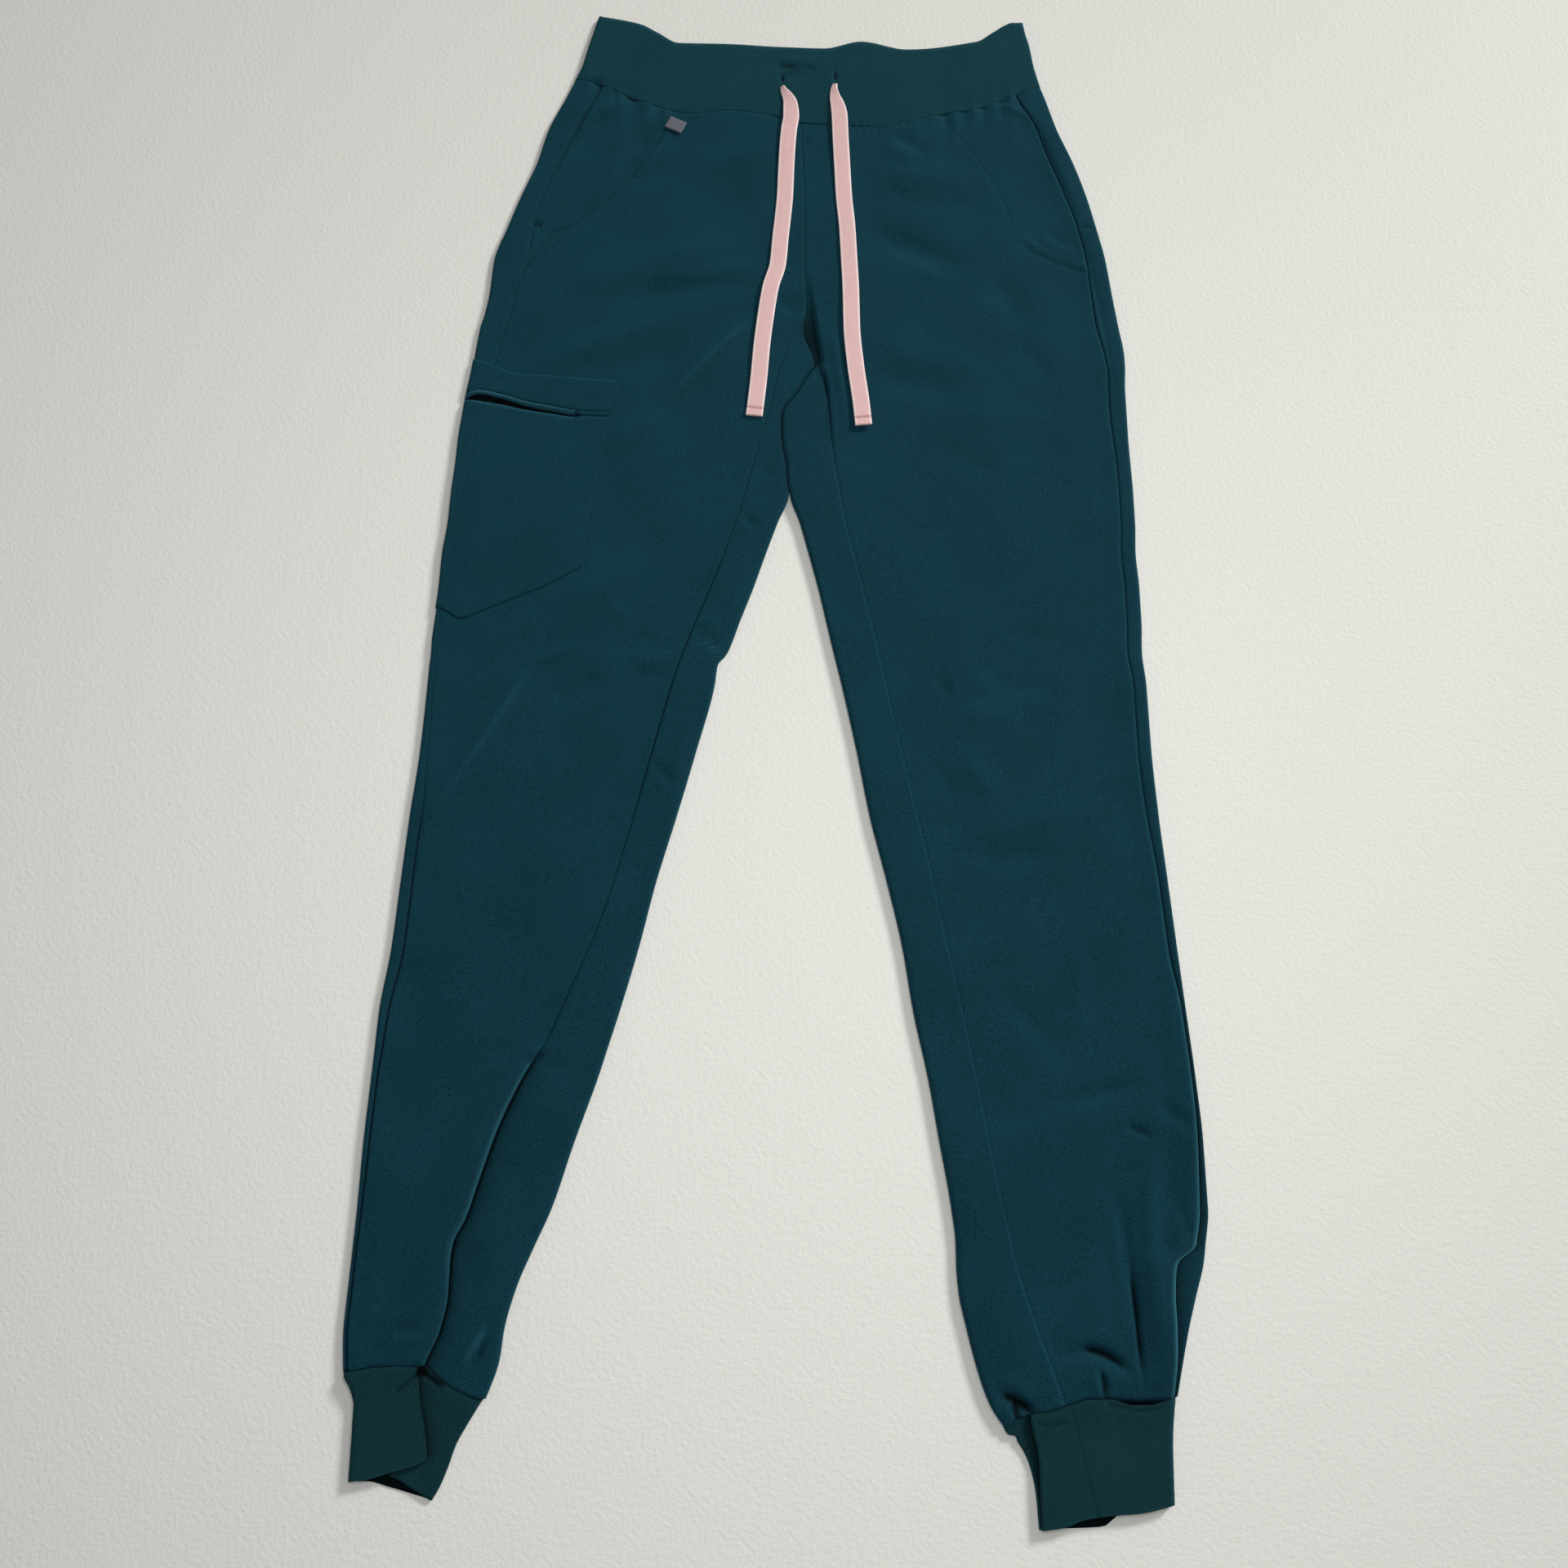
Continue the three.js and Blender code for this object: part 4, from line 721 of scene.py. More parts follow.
def length_at(at, across):
    """The length round the section of a point on its upper side."""
    top = np.maximum(at["top_round"], 1e-6)
    past = across - (at["width"] - at["outer_round"])
    near = at["wall_end"] + top * np.arccos(np.clip(1 - across / top, -1, 1))
    far = at["top_end"] + at["outer_round"] * np.arcsin(np.clip(past / at["outer_round"], 0, 1))
    level = at["top_start"] + across - at["top_round"]
    return np.where(across < at["top_round"], near, np.where(past > 0, far, level))


def seam_lift(distance, depth, on_allowance):
    """The groove along a seam, and beside it the raised cloth of the allowance under the panel."""
    groove = -depth * hump(distance, SEAM_HALF)
    start = smooth((distance - ALLOWANCE["from"]) / ALLOWANCE["from_over"] + 0.5)
    end = smooth((ALLOWANCE["to"] - distance) / ALLOWANCE["to_over"])
    return groove + on_allowance * ALLOWANCE["lift"] * start * end


# The cloth is gathered a little where it joins the waistband: small upright puckers.
PUCKERS = table(["x", "width", "lift", "reach"], [
    [-141, 3, 0.8, 9], [-134, 3.4, -1.4, 9], [-125, 3, 0.7, 10], [-117, 3, 1.0, 18], [-108, 3.4, -1.5, 9],
    [-97, 4, 1.0, 20], [-84, 3, 0.8, 20], [-60, 5, 0.4, 14], [-30, 5, -0.3, 12],
    [97, 3, 0.7, 12], [110, 3, 0.6, 16], [119, 2.4, -1.2, 14], [126, 2.6, 0.9, 12],
    [133, 2.4, -1.0, 10], [140, 2.4, 0.9, 9], [147, 2.6, -1.4, 10], [154, 2.4, 0.8, 9],
    [160, 2.6, -1.2, 9], [167, 2.6, 1.0, 12], [174, 2.6, -0.9, 12],
])


# The cloth's long shallow waves, which come of having been folded and worn.
WAVES = table(["lift", "x", "y", "start"], [
    [0.34, 17, 29, 1.3], [0.30, 31, -19, 0.4], [0.16, 9.5, 47, 2.1], [0.14, -53, 8.7, 0],
])


def unevenness(x, y):
    return sum(row["lift"] * np.sin(x / row["x"] + y / row["y"] + row["start"]) for row in WAVES)


SLIT_LINES = [sewn_line(SLIT)]

# How much painted shade creases, the valley, the crotch, the pocket's mouth, the cloth below a lip
# and seams get and how far it reaches, where a lip's painted highlight sits, how deep the seams at the
# waist and the ankle sit, and the fine gathers between two rows of stitches under the waistband.
CREASE_SHADE = {"from": 0.2, "over": 2.6}
VALLEY_SHADE = {"from": 1.4, "over": 2.6, "most": 0.85}
VALLEY_SIDE = {"start": 3.2, "width": 4.2}
CROTCH_SHADE = {"low": 122, "low_fade": 10, "high": 264, "high_fade": 14, "width": 1.6, "most": 0.6}
SLIT_SHADE = 0.4
LIP_HANG_POWER = 0.8
LIP_HIGHLIGHT = {"inside": 1.4, "width": 1.0}
LIP_BASE = {"drop": 1.2, "width": 7, "near": 0.6, "near_reach": 1.8, "far": 0.4, "far_reach": 8}
SEAM_SHADE = {"most": 0.75, "width": 0.7}
WAIST_DIP = {"depth": 0.05, "width": 1.5}
ANKLE_DIP = {"depth": 0.5, "allowance": 1.5}
STRETCH = {"from": 48, "to": 94, "fade": 4, "start": 50, "pitch": 5.4, "lift": 0.24, "reach": 5}


def relief(at, across, on_front):
    """What folds, lips, seams and puckers do to the upper side: its lift, a push to the side, and
    its painted shade, or below 0 its painted highlight."""
    leg, y = at["leg"], at["y"]
    x = at["inner"] + leg["side"] * across
    from_inner = np.where(at["strip"] > 0, across, EDGE_FADE)
    edge = smooth(np.minimum(from_inner, at["width"] - across) / EDGE_FADE)
    creases = fold_lift(leg["creases"], x, y)
    lift = (fold_lift(leg["folds"], x, y) + creases + unevenness(x, y)) * edge
    sunk = smooth((-creases - CREASE_SHADE["from"]) / CREASE_SHADE["over"]) * edge
    worn = PAINTED_CREST_HIGHLIGHT["share"] * np.maximum(fold_lift(leg["crests"], x, y), 0)
    if leg["side"] > 0:
        beside = valley_right(y) + VALLEY_SIDE["start"] - x
        valley = valley_depth(y) * smooth(beside / VALLEY_SIDE["width"])
        lift -= valley
        shade = smooth((valley - VALLEY_SHADE["from"]) / VALLEY_SHADE["over"])
        sunk = np.maximum(sunk, VALLEY_SHADE["most"] * shade)
    else:
        # Painted shade along the right leg's inner edge, where it lies beside the other leg above the crotch.
        above = smooth((y - CROTCH_SHADE["low"]) / CROTCH_SHADE["low_fade"])
        below = smooth((CROTCH_SHADE["high"] - y) / CROTCH_SHADE["high_fade"])
        shade = above * below * hump(across, CROTCH_SHADE["width"])
        sunk = np.maximum(sunk, CROTCH_SHADE["most"] * shade)
        slit = fold_lift(SLIT_LINES, x, y)
        lift += slit
        sunk = np.maximum(sunk, smooth(-slit / SLIT_SHADE))
    push = np.zeros_like(lift)
    for lip in leg["lips"]:
        inner = lip["seam"] == "inner"
        start = across - at["strip"] if inner else at["width"] - at["tuck"] - across
        if on_front:
            t = np.clip(start / LIP_ROUND, 0, 1)
            settled = smooth((start - LIP_ROUND) / lip["reach"](y))
            lift += lip["rise"](y) * np.sqrt(1 - (1 - t) ** 2) * (1 - settled)
            push += (-1 if inner else 1) * lip["hang"](y) * np.sin(np.pi * t) ** LIP_HANG_POWER
            worn = worn + lip["worn"](y) * hump(start - LIP_HIGHLIGHT["inside"], LIP_HIGHLIGHT["width"])
        else:
            # The back panel beside a lip sinks, and gets painted shadow near the lip.
            under = smooth(lip["rise"](y) / 2)
            lift -= LIP_BASE["drop"] * under * hump(start, LIP_BASE["width"])
            away = np.minimum(start, 0)
            near = LIP_BASE["near"] * np.exp(away / LIP_BASE["near_reach"])
            far = LIP_BASE["far"] * np.exp(away / LIP_BASE["far_reach"])
            sunk = np.maximum(sunk, under * (near + far) * (start <= 0))
    seams = ((at["strip"], leg["inner_dip"](y)), (at["width"] - at["tuck"], leg["outer_dip"](y)))
    for line, dip in seams:
        distance = np.abs(across - line)
        lift += seam_lift(distance, dip, on_front)
        sunk = np.maximum(sunk, smooth(dip) * SEAM_SHADE["most"] * hump(distance, SEAM_SHADE["width"]))
    below_waist = np.maximum(waist_seam(x) - y, 0)
    lift -= WAIST_DIP["depth"] * hump(below_waist, WAIST_DIP["width"])
    lift += seam_lift(np.maximum(y - leg["ankle"](x), 0), ANKLE_DIP["depth"], ANKLE_DIP["allowance"])
    stretch = smooth((x - STRETCH["from"]) / STRETCH["fade"]) * smooth((STRETCH["to"] - x) / STRETCH["fade"])
    waves = np.cos(2 * np.pi * (x - STRETCH["start"]) / STRETCH["pitch"])
    lift += STRETCH["lift"] * stretch * waves * hump(below_waist, STRETCH["reach"])
    for row in PUCKERS:
        lift += row["lift"] * hump(x - row["x"], row["width"]) * np.exp(-below_waist / row["reach"])
    return lift, push, sunk - worn * (1 - sunk)


def leg_point(leg, nominal, find, depth, on_front):
    """Points of a leg's cloth. nominal is each point's row before the rows bend to the seams at the
    waist and the ankle, find gives its length round the section, and depth is how far in it is."""
    top = smooth(1 - (TOP_NOMINAL - nominal) / TOP_FADE)
    low = smooth(1 - (nominal - leg["ankle_nominal"]) / ANKLE_FADE)
    y = nominal
    for _ in range(SETTLE_PASSES):
        at = section(leg, y)
        across, up, normal_across, normal_up = skin(at, find(at))
        x = at["inner"] + leg["side"] * across
        y = nominal + (waist_seam(x) - GAP / 2 - TOP_NOMINAL) * top
        y = y + (leg["ankle"](x) + GAP / 2 - leg["ankle_nominal"]) * low
    at = section(leg, y)
    across, up, normal_across, normal_up = skin(at, find(at))
    lift, push, sunk = relief(at, across, on_front)
    facing = np.maximum(normal_up, 0)
    if on_front:
        lift = np.maximum(lift, LEAST_HEIGHT - up)
    return sunk, np.stack([
        at["inner"] + leg["side"] * (across + push * facing - depth * normal_across),
        y + np.zeros_like(across),
        up - depth * normal_up + facing * lift,
    ], axis=-1)


# How closely the rows of a leg follow one another: nearest at the waist, the crotch and the ankle.
ROW_PACE = table(["y", "step"], [
    [435, 0.9], [415, 1.2], [390, 1.6], [290, 1.7], [230, 1.8], [150, 2.6], [0, 3.2], [-200, 3],
    [-250, 2.2], [-360, 2], [-400, 1.3], [-446, 0.9],
])
row_pace = curve(ROW_PACE, "y", "step")


def leg_rows(leg):
    """An odd number of rows from the waist seam to the ankle seam."""
    rows = [float(TOP_NOMINAL)]
    while rows[-1] > leg["ankle_nominal"]:
        rows.append(rows[-1] - float(row_pace(rows[-1])))
    count = len(rows) + (len(rows) + 1) % 2
    places = np.interp(np.linspace(0, 1, count), np.linspace(0, 1, len(rows)), rows)
    span = TOP_NOMINAL - places[-1]
    return TOP_NOMINAL - (TOP_NOMINAL - places) * (TOP_NOMINAL - leg["ankle_nominal"]) / span


def shell(outer, inner, closed=False):
    """The vertices and faces of a thin closed shell between a fine skin and a coarser lining. closed
    says that the columns run round a tube. The lining has a whole share of the skin's rows."""
    rows, columns = outer.shape[:2]
    in_rows, in_columns = inner.shape[:2]
    row_step = (rows - 1) // (in_rows - 1)
    column_step = columns // in_columns if closed else (columns - 1) // (in_columns - 1)
    base = rows * columns

    def out_at(i, j):
        return i * columns + j % columns

    def in_at(i, j):
        return base + i * in_columns + j % in_columns

    def quads(at, count_i, count_j, forward):
        i, j = np.meshgrid(np.arange(count_i), np.arange(count_j), indexing="ij")
        i, j = i.ravel(), j.ravel()
        ring = [at(i, j), at(i, j + 1), at(i + 1, j + 1), at(i + 1, j)]
        return np.stack(ring if forward else ring[::-1], axis=1).tolist()

    spans = columns if closed else columns - 1
    in_spans = in_columns if closed else in_columns - 1
    faces = quads(out_at, rows - 1, spans, True) + quads(in_at, in_rows - 1, in_spans, False)
    for k in range(in_spans):
        stretch = [k * column_step + s for s in range(column_step + 1)]
        faces.append([out_at(0, j) for j in reversed(stretch)] + [in_at(0, k), in_at(0, k + 1)])
        last = [out_at(rows - 1, j) for j in stretch]
        faces.append(last + [in_at(in_rows - 1, k + 1), in_at(in_rows - 1, k)])
    if not closed:
        for k in range(in_rows - 1):
            stretch = [k * row_step + s for s in range(row_step + 1)]
            faces.append([out_at(i, 0) for i in stretch] + [in_at(k + 1, 0), in_at(k, 0)])
            last = [out_at(i, columns - 1) for i in reversed(stretch)]
            faces.append(last + [in_at(k, in_columns - 1), in_at(k + 1, in_columns - 1)])
    vertices = np.concatenate([outer.reshape(-1, 3), inner.reshape(-1, 3)])
    ring = np.array([face[:3] for face in faces])
    a, b, c = vertices[ring[:, 0]], vertices[ring[:, 1]], vertices[ring[:, 2]]
    if np.einsum("ij,ij->i", a, np.cross(b, c)).sum() < 0:
        faces = [face[::-1] for face in faces]
    return vertices, faces


def panel(leg, stops, on_front):
    """A leg's panel: a skin through all rows and stops, and a lining through every second one."""
    rows = leg_rows(leg)

    def grid(row_list, stop_list, depth):
        nominal = np.repeat(row_list[:, None], len(stop_list), axis=1)
        return leg_point(
            leg, nominal, lambda at: np.stack([stop(at, k) for k, stop in enumerate(stop_list)], axis=1),
            depth, on_front,
        )

    sunk, outer = grid(rows, stops, 0)
    inner_sunk, inner = grid(rows[::2], stops[::2], CLOTH)
    vertices, faces = shell(outer, inner)
    return vertices, faces, np.concatenate([sunk.ravel(), inner_sunk.ravel()])


def narrowed(at, k):
    """The section's values for one column alone."""
    return {key: value[:, k] if isinstance(value, np.ndarray) else value for key, value in at.items()}


# The front panels: one piece of twill each, from the waistband to the cuff, sewn to the back panel
# along the inseam and the side seam. Their columns crowd towards both seams, where the cloth turns most.
FRONT_COLUMNS = 185
FRONT_CROWDING = 0.7


def front_stops():
    """The places of a front panel's columns, each as a length round the section."""
    def stop(share):
        def find(at, k):
            here = narrowed(at, k)
            start = np.where(here["strip"] > 0, length_at(here, here["strip"]) + GAP / 2, here["top_start"])
            end = length_at(here, here["width"] - here["tuck"]) - GAP / 2
            return lerp(start, end, share)
        return find

    even = np.linspace(0, 1, FRONT_COLUMNS)
    crowded = (1 - np.cos(np.pi * even)) / 2
    return [stop(share) for share in lerp(even, crowded, FRONT_CROWDING)]


# The twill: dark teal stretch cloth, given a painted sheen that is lighter where it is seen aslant. Its
# weave is too fine to see from a step away, so it is bump, and its colour is a little uneven.
TWILL_DARK = (0.0024, 0.0200, 0.0295, 1)
TWILL_LIGHT = (0.0068, 0.0470, 0.0680, 1)
# The colours of painted shade in creases and of painted highlights on edges and crests.
PAINTED_CREASE_SHADE = (0.0006, 0.0016, 0.0022, 1)
PAINTED_HIGHLIGHT = (0.034, 0.145, 0.185, 1)
PAINTED_SHEEN = 1.5
SHEEN_TINT = (0.45, 0.85, 1.0, 1)
CLOUDS = {"Scale": 22.0, "Detail": 3.0, "Roughness": 0.55}
FLECKS = {"Scale": 1500.0, "Detail": 1.0}
CLOUD_SHARE = 0.55
FLECK_SPREAD = 2.8
FLECK_SHIFT = -1.17


def cloth_finish(name, dark, light, thread_scale, direction, bump):
    """A matt cloth: uneven colour, a painted sheen where it is seen aslant, painted shade in creases and
    painted highlights on edges and crests, with fine threads as bump and a faint sheen."""
    made, tree, shader = new_material(name)
    link = tree.links.new
    place = add_node(tree, "ShaderNodeTexCoord")
    cloud = add_node(tree, "ShaderNodeTexNoise", CLOUDS)
    fleck = add_node(tree, "ShaderNodeTexNoise", FLECKS)
    fleck_part = add_node(tree, "ShaderNodeMath", {1: FLECK_SPREAD, 2: FLECK_SHIFT}, operation="MULTIPLY_ADD")
    unevenly = add_node(tree, "ShaderNodeMath", {1: CLOUD_SHARE}, operation="MULTIPLY_ADD")
    weave = add_node(tree, "ShaderNodeTexWave", {
        "Scale": thread_scale, "Distortion": 0.8, "Detail": 1.0, "Detail Scale": 2.0,
    }, bands_direction=direction)
    weave_bump = add_node(tree, "ShaderNodeBump", {"Strength": bump, "Distance": 0.0001})
    for target in (cloud, fleck, weave):
        link(place.outputs["Object"], target.inputs["Vector"])
    link(fleck.outputs["Fac"], fleck_part.inputs[0])
    link(cloud.outputs["Fac"], unevenly.inputs[0])
    link(fleck_part.outputs[0], unevenly.inputs[2])
    slant = add_node(tree, "ShaderNodeLayerWeight", {"Blend": 0.5})
    depth = add_node(tree, "ShaderNodeAttribute", attribute_name="sunk")
    turned = add_node(tree, "ShaderNodeMath", {1: -1.0}, operation="MULTIPLY")
    link(depth.outputs["Fac"], turned.inputs[0])
    painted_sheen_colour = tuple(PAINTED_SHEEN * value for value in light[:3]) + (1,)
    under = None
    # Each colour goes over the ones before it, by its own share: the lighter tone by noise, then a
    # painted sheen where the surface is seen aslant, painted shade by the sunk attribute, and a painted
    # highlight where that attribute is below 0.
    for share, over in (
        (unevenly.outputs[0], light), (slant.outputs["Facing"], painted_sheen_colour), (depth.outputs["Fac"], PAINTED_CREASE_SHADE),
        (turned.outputs[0], PAINTED_HIGHLIGHT),
    ):
        mix = add_node(tree, "ShaderNodeMix", data_type="RGBA")
        mix.inputs["B"].default_value = over
        link(share, mix.inputs["Factor"])
        if under is None:
            mix.inputs["A"].default_value = dark
        else:
            link(under, mix.inputs["A"])
        under = mix.outputs["Result"]
    link(under, shader.inputs["Base Color"])
    link(weave.outputs["Fac"], weave_bump.inputs["Height"])
    link(weave_bump.outputs["Normal"], shader.inputs["Normal"])
    shader.inputs["Roughness"].default_value = 0.82
    shader.inputs["Specular IOR Level"].default_value = 0.05
    shader.inputs["Sheen Weight"].default_value = 0.02
    shader.inputs["Sheen Roughness"].default_value = 0.45
    shader.inputs["Sheen Tint"].default_value = SHEEN_TINT
    return made


twill = cloth_finish("twill", TWILL_DARK, TWILL_LIGHT, thread_scale=300.0, direction="DIAGONAL", bump=0.35)

for leg, node in ((RIGHT, "front_right"), (LEFT, "front_left")):
    vertices, faces, sunk = panel(leg, front_stops(), 1)
    front = add_piece(node + "_cloth", vertices, faces, twill, "twill", sunk)
    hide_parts(node)

# The back panels: from the side seam round the outer edge, flat underneath to the centre back, and
# below the crotch up round the inner edge to the inseam.
OUTER_STRIP_STEPS = 8
OUTER_ARC_STEPS = 12
UNDER_STEPS = 20
CORNER = 6
CORNER_STEPS = 4
INNER_ARC_STEPS = 10
INNER_STRIP_STEPS = 18
CREST = 0.5
STAR_CLEARANCE = 1.3


def back_stops():
    """The places of a back panel's columns, each as a length round the section."""
    def at_seam(here):
        return length_at(here, here["width"] - here["tuck"]) + GAP / 2

    def crest(here):
        return np.maximum(at_seam(here) + CREST, here["top_end"])

    def flat(here):
        return here["width"] - here["outer_round"] - here["low_round"]

    def inner(here, part, share):
        tucked = here["height"] - CLOTH - STAR_CLEARANCE - here["low_round"]
        ending = np.where(here["y"] > here["leg"]["star"], 0, here["wall_start"] + tucked)
        whole = (part + share) / 3
        seam = length_at(here, here["strip"]) - GAP / 2
        turn = np.minimum(here["top_start"], seam - 1)
        shown = [lerp(-CORNER, 0, share), lerp(0, turn, share), lerp(turn, seam, share)][part]
        return np.where(here["strip"] == 0, lerp(-CORNER, ending, whole), shown)

    stops = []

    def add(count, place):
        for step in range(count):
            stops.append(lambda at, k, t=step / count: place(narrowed(at, k), t))

    add(OUTER_STRIP_STEPS, lambda here, t: lerp(at_seam(here), crest(here), t))
    add(OUTER_ARC_STEPS, lambda here, t: lerp(crest(here), here["end"], t))
    add(UNDER_STEPS, lambda here, t: -lerp(flat(here), CORNER, t))
    add(CORNER_STEPS, lambda here, t: inner(here, 0, t))
    add(INNER_ARC_STEPS, lambda here, t: inner(here, 1, t))
    add(INNER_STRIP_STEPS, lambda here, t: inner(here, 2, t))
    add(1, lambda here, t: inner(here, 2, 1.0))
    return stops


for leg, node in ((RIGHT, "back_right"), (LEFT, "back_left")):
    vertices, faces, sunk = panel(leg, back_stops(), 0)
    back = add_piece(node + "_cloth", vertices, faces, twill, "twill", sunk)
    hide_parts(node)

# The waistband: a deep rib-knit tube, sewn to the panels with the seam allowance turned down. Its
# ribs run up and down. Two buttonholes near the centre front let the drawstring out.
RIB_WALL = 1.2
RIB_PITCH = 1.3
RIB_DEPTH = 0.055
BAND_HEIGHT = 5.2
BAND_ROWS = 37
BAND_STRETCHES = [["under", 96], ["right_turn", 16], ["top", 1012], ["left_turn", 16]]
BAND_TOP_NOMINAL = 495
BAND_UNEVEN = 0.6
BAND_SINK = {"depth": 0.5, "reach": 16}
BAND_TOP_FOLD = {"depth": 1.6, "reach": 4}
BAND_PUCKER = {"share": 0.4, "reach": 7}
BAND_SHADE = {"from": 0.3, "over": 2}
BAND_TOP_SHADE = {"dark": 0.45, "width": 0.9}
LINING_SHADE = 0.9
RIB_DARK = (0.0038, 0.0235, 0.0310, 1)
RIB_LIGHT = (0.0078, 0.0475, 0.0615, 1)
KNIT_SCALE = 210.0
KNIT_BUMP = 0.4
BAND_TOP = table(["x", "y"], [
    [-136, 513], [-126, 511], [-103, 505], [-91, 498], [-75, 489], [-34, 488], [2, 485.5], [32, 484],
    [59, 490], [92, 483.5], [144, 490], [156, 498], [166, 505], [171, 507], [178, 507],
])
BAND_SIDES = table(["y", "left", "right"], [
    [450, -152.5, 189.5], [457, -150, 187.8], [470, -145, 185], [485, -141.5, 183], [499, -138, 180],
    [513, -134.5, 178],
])
BAND_FOLDS = [fold_line(row) for row in table(FOLD_COLUMNS, [
    [-6, 467, 6, 468, 13, 465.5, 1.6, -1.2],
    [14, 466, 22, 466, 27, 463.5, 1.4, -0.9],
    [-6, 461, 10, 462, 26, 459, 5, -0.8],
    [-4, 472, 10, 474, 30, 470, 4, 0.7],
    [1, 461, 1, 458, 1, 452, 1.6, -1.3],
    [39, 463, 39.3, 459, 39.5, 453, 1.4, -1.3],
    [-148, 452, -140, 455, -128, 452, 2.5, -0.7],
    [-146, 459, -136, 461, -124, 457, 3, 0.5],
])]


def tube_skin(stretches, rows, span, place, start, finish, turned):
    """The points of a tube's skin, with its normals and the length round it. stretches names the
    parts of its section with their columns, place gives a part's x and z at shares along it, and
    start and finish give the tube's two end lines. turned is 1 for a section that runs leftwards."""
    share = np.linspace(0, 1, rows)[:, None]
    parts = [(name, np.linspace(0, 1, count, endpoint=False)[None, :]) for name, count in stretches]
    firsts = np.cumsum([0] + [count for _, count in stretches])
    y = np.repeat(lerp(span[0], span[1], share), firsts[-1], axis=1)
    for _ in range(SETTLE_PASSES + 2):
        placed = [place(name, t, y[:, a:b], share) for (name, t), a, b in zip(parts, firsts, firsts[1:])]
        ends = [finish(name, t, x) for (name, t), (x, _) in zip(parts, placed)]
        x, z = (np.concatenate([pair[k] for pair in placed], axis=1) for k in (0, 1))
        y = lerp(start(x), np.concatenate(ends, axis=1), share)
    dx = np.roll(x, -1, axis=1) - np.roll(x, 1, axis=1)
    dz = np.roll(z, -1, axis=1) - np.roll(z, 1, axis=1)
    size = np.maximum(np.hypot(dx, dz), 1e-6) * turned
    steps = np.hypot(np.diff(x, axis=1, prepend=x[:, :1]), np.diff(z, axis=1, prepend=z[:, :1]))
    return {"x": x, "y": y, "z": z, "nx": dz / size, "nz": -dx / size, "run": np.cumsum(steps, axis=1)}


def tube_shell(at, lift, bulk, wall, dark):
    """A thin shell from a tube's skin. lift is added to the skin alone, and bulk to the lining too.
    dark is the skin's painted shade, or below 0 its painted highlight, and the lining gets painted
    shade all over."""
    raised = lift + bulk
    outer = np.stack([at["x"] + at["nx"] * raised, at["y"], at["z"] + at["nz"] * raised], axis=-1)
    sunk = bulk - wall
    inner = np.stack([at["x"] + at["nx"] * sunk, at["y"], at["z"] + at["nz"] * sunk], axis=-1)
    vertices, faces = shell(outer, inner[::2, ::4], closed=True)
    lining = np.full(inner[::2, ::4, 0].size, LINING_SHADE)
    return vertices, faces, np.concatenate([np.ravel(dark + 0 * at["x"]), lining])


def ribs(at):
    """The ribs of the knit on the side that faces up, and on the rims beside it."""
    return smooth(at["nz"] + 1) * RIB_DEPTH * np.cos(2 * np.pi * at["run"] / RIB_PITCH)


def make_band():
    """The band's tube: along the underside, round one edge, back over the top and round the other."""
    left, right = curve(BAND_SIDES, "y", "left"), curve(BAND_SIDES, "y", "right")
    top_line = curve(BAND_TOP, "x", "y")
    half = BAND_HEIGHT / 2

    def place(name, t, y, share):
        low, high = left(y) + half, right(y) - half
        flat = y * 0
        if name == "under":
            return lerp(low, high, t), flat
        if name == "right_turn":
            return high + half * np.sin(np.pi * t), half - half * np.cos(np.pi * t) + flat
        if name == "top":
            return lerp(high, low, t), flat + BAND_HEIGHT
        return low - half * np.sin(np.pi * t), half + half * np.cos(np.pi * t) + flat

    at = tube_skin(
        BAND_STRETCHES, BAND_ROWS, (TOP_NOMINAL, BAND_TOP_NOMINAL), place,
        lambda x: waist_seam(x) + GAP / 2, lambda name, t, x: top_line(x), 1,
    )
    x, y, facing = at["x"], at["y"], smooth(at["nz"])
    from_seam, from_top = y - waist_seam(x), top_line(x) - y
    creased = fold_lift(BAND_FOLDS, x, y)
    bulk = creased + unevenness(x, y) * BAND_UNEVEN
    bulk -= BAND_SINK["depth"] * (1 - smooth(from_seam / BAND_SINK["reach"]))
    bulk -= WAIST_DIP["depth"] * hump(from_seam, WAIST_DIP["width"])
    bulk -= BAND_TOP_FOLD["depth"] * (1 - smooth(from_top / BAND_TOP_FOLD["reach"])) ** 2
    for row in PUCKERS:
        fading = hump(x - row["x"], row["width"]) * np.exp(-from_seam / BAND_PUCKER["reach"])
        bulk += BAND_PUCKER["share"] * row["lift"] * fading
    # Painted shade in the band's creases and along its top edge.
    dark = smooth((-creased - BAND_SHADE["from"]) / BAND_SHADE["over"])
    dark += BAND_TOP_SHADE["dark"] * hump(from_top, BAND_TOP_SHADE["width"])
    return tube_shell(at, ribs(at), facing * bulk, RIB_WALL, dark)


rib_knit = cloth_finish("rib_knit", RIB_DARK, RIB_LIGHT, KNIT_SCALE, "X", KNIT_BUMP)
vertices, faces, dark = make_band()
waistband = add_piece("waistband_rib", vertices, faces, rib_knit, "rib_knit", dark)
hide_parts("waistband")

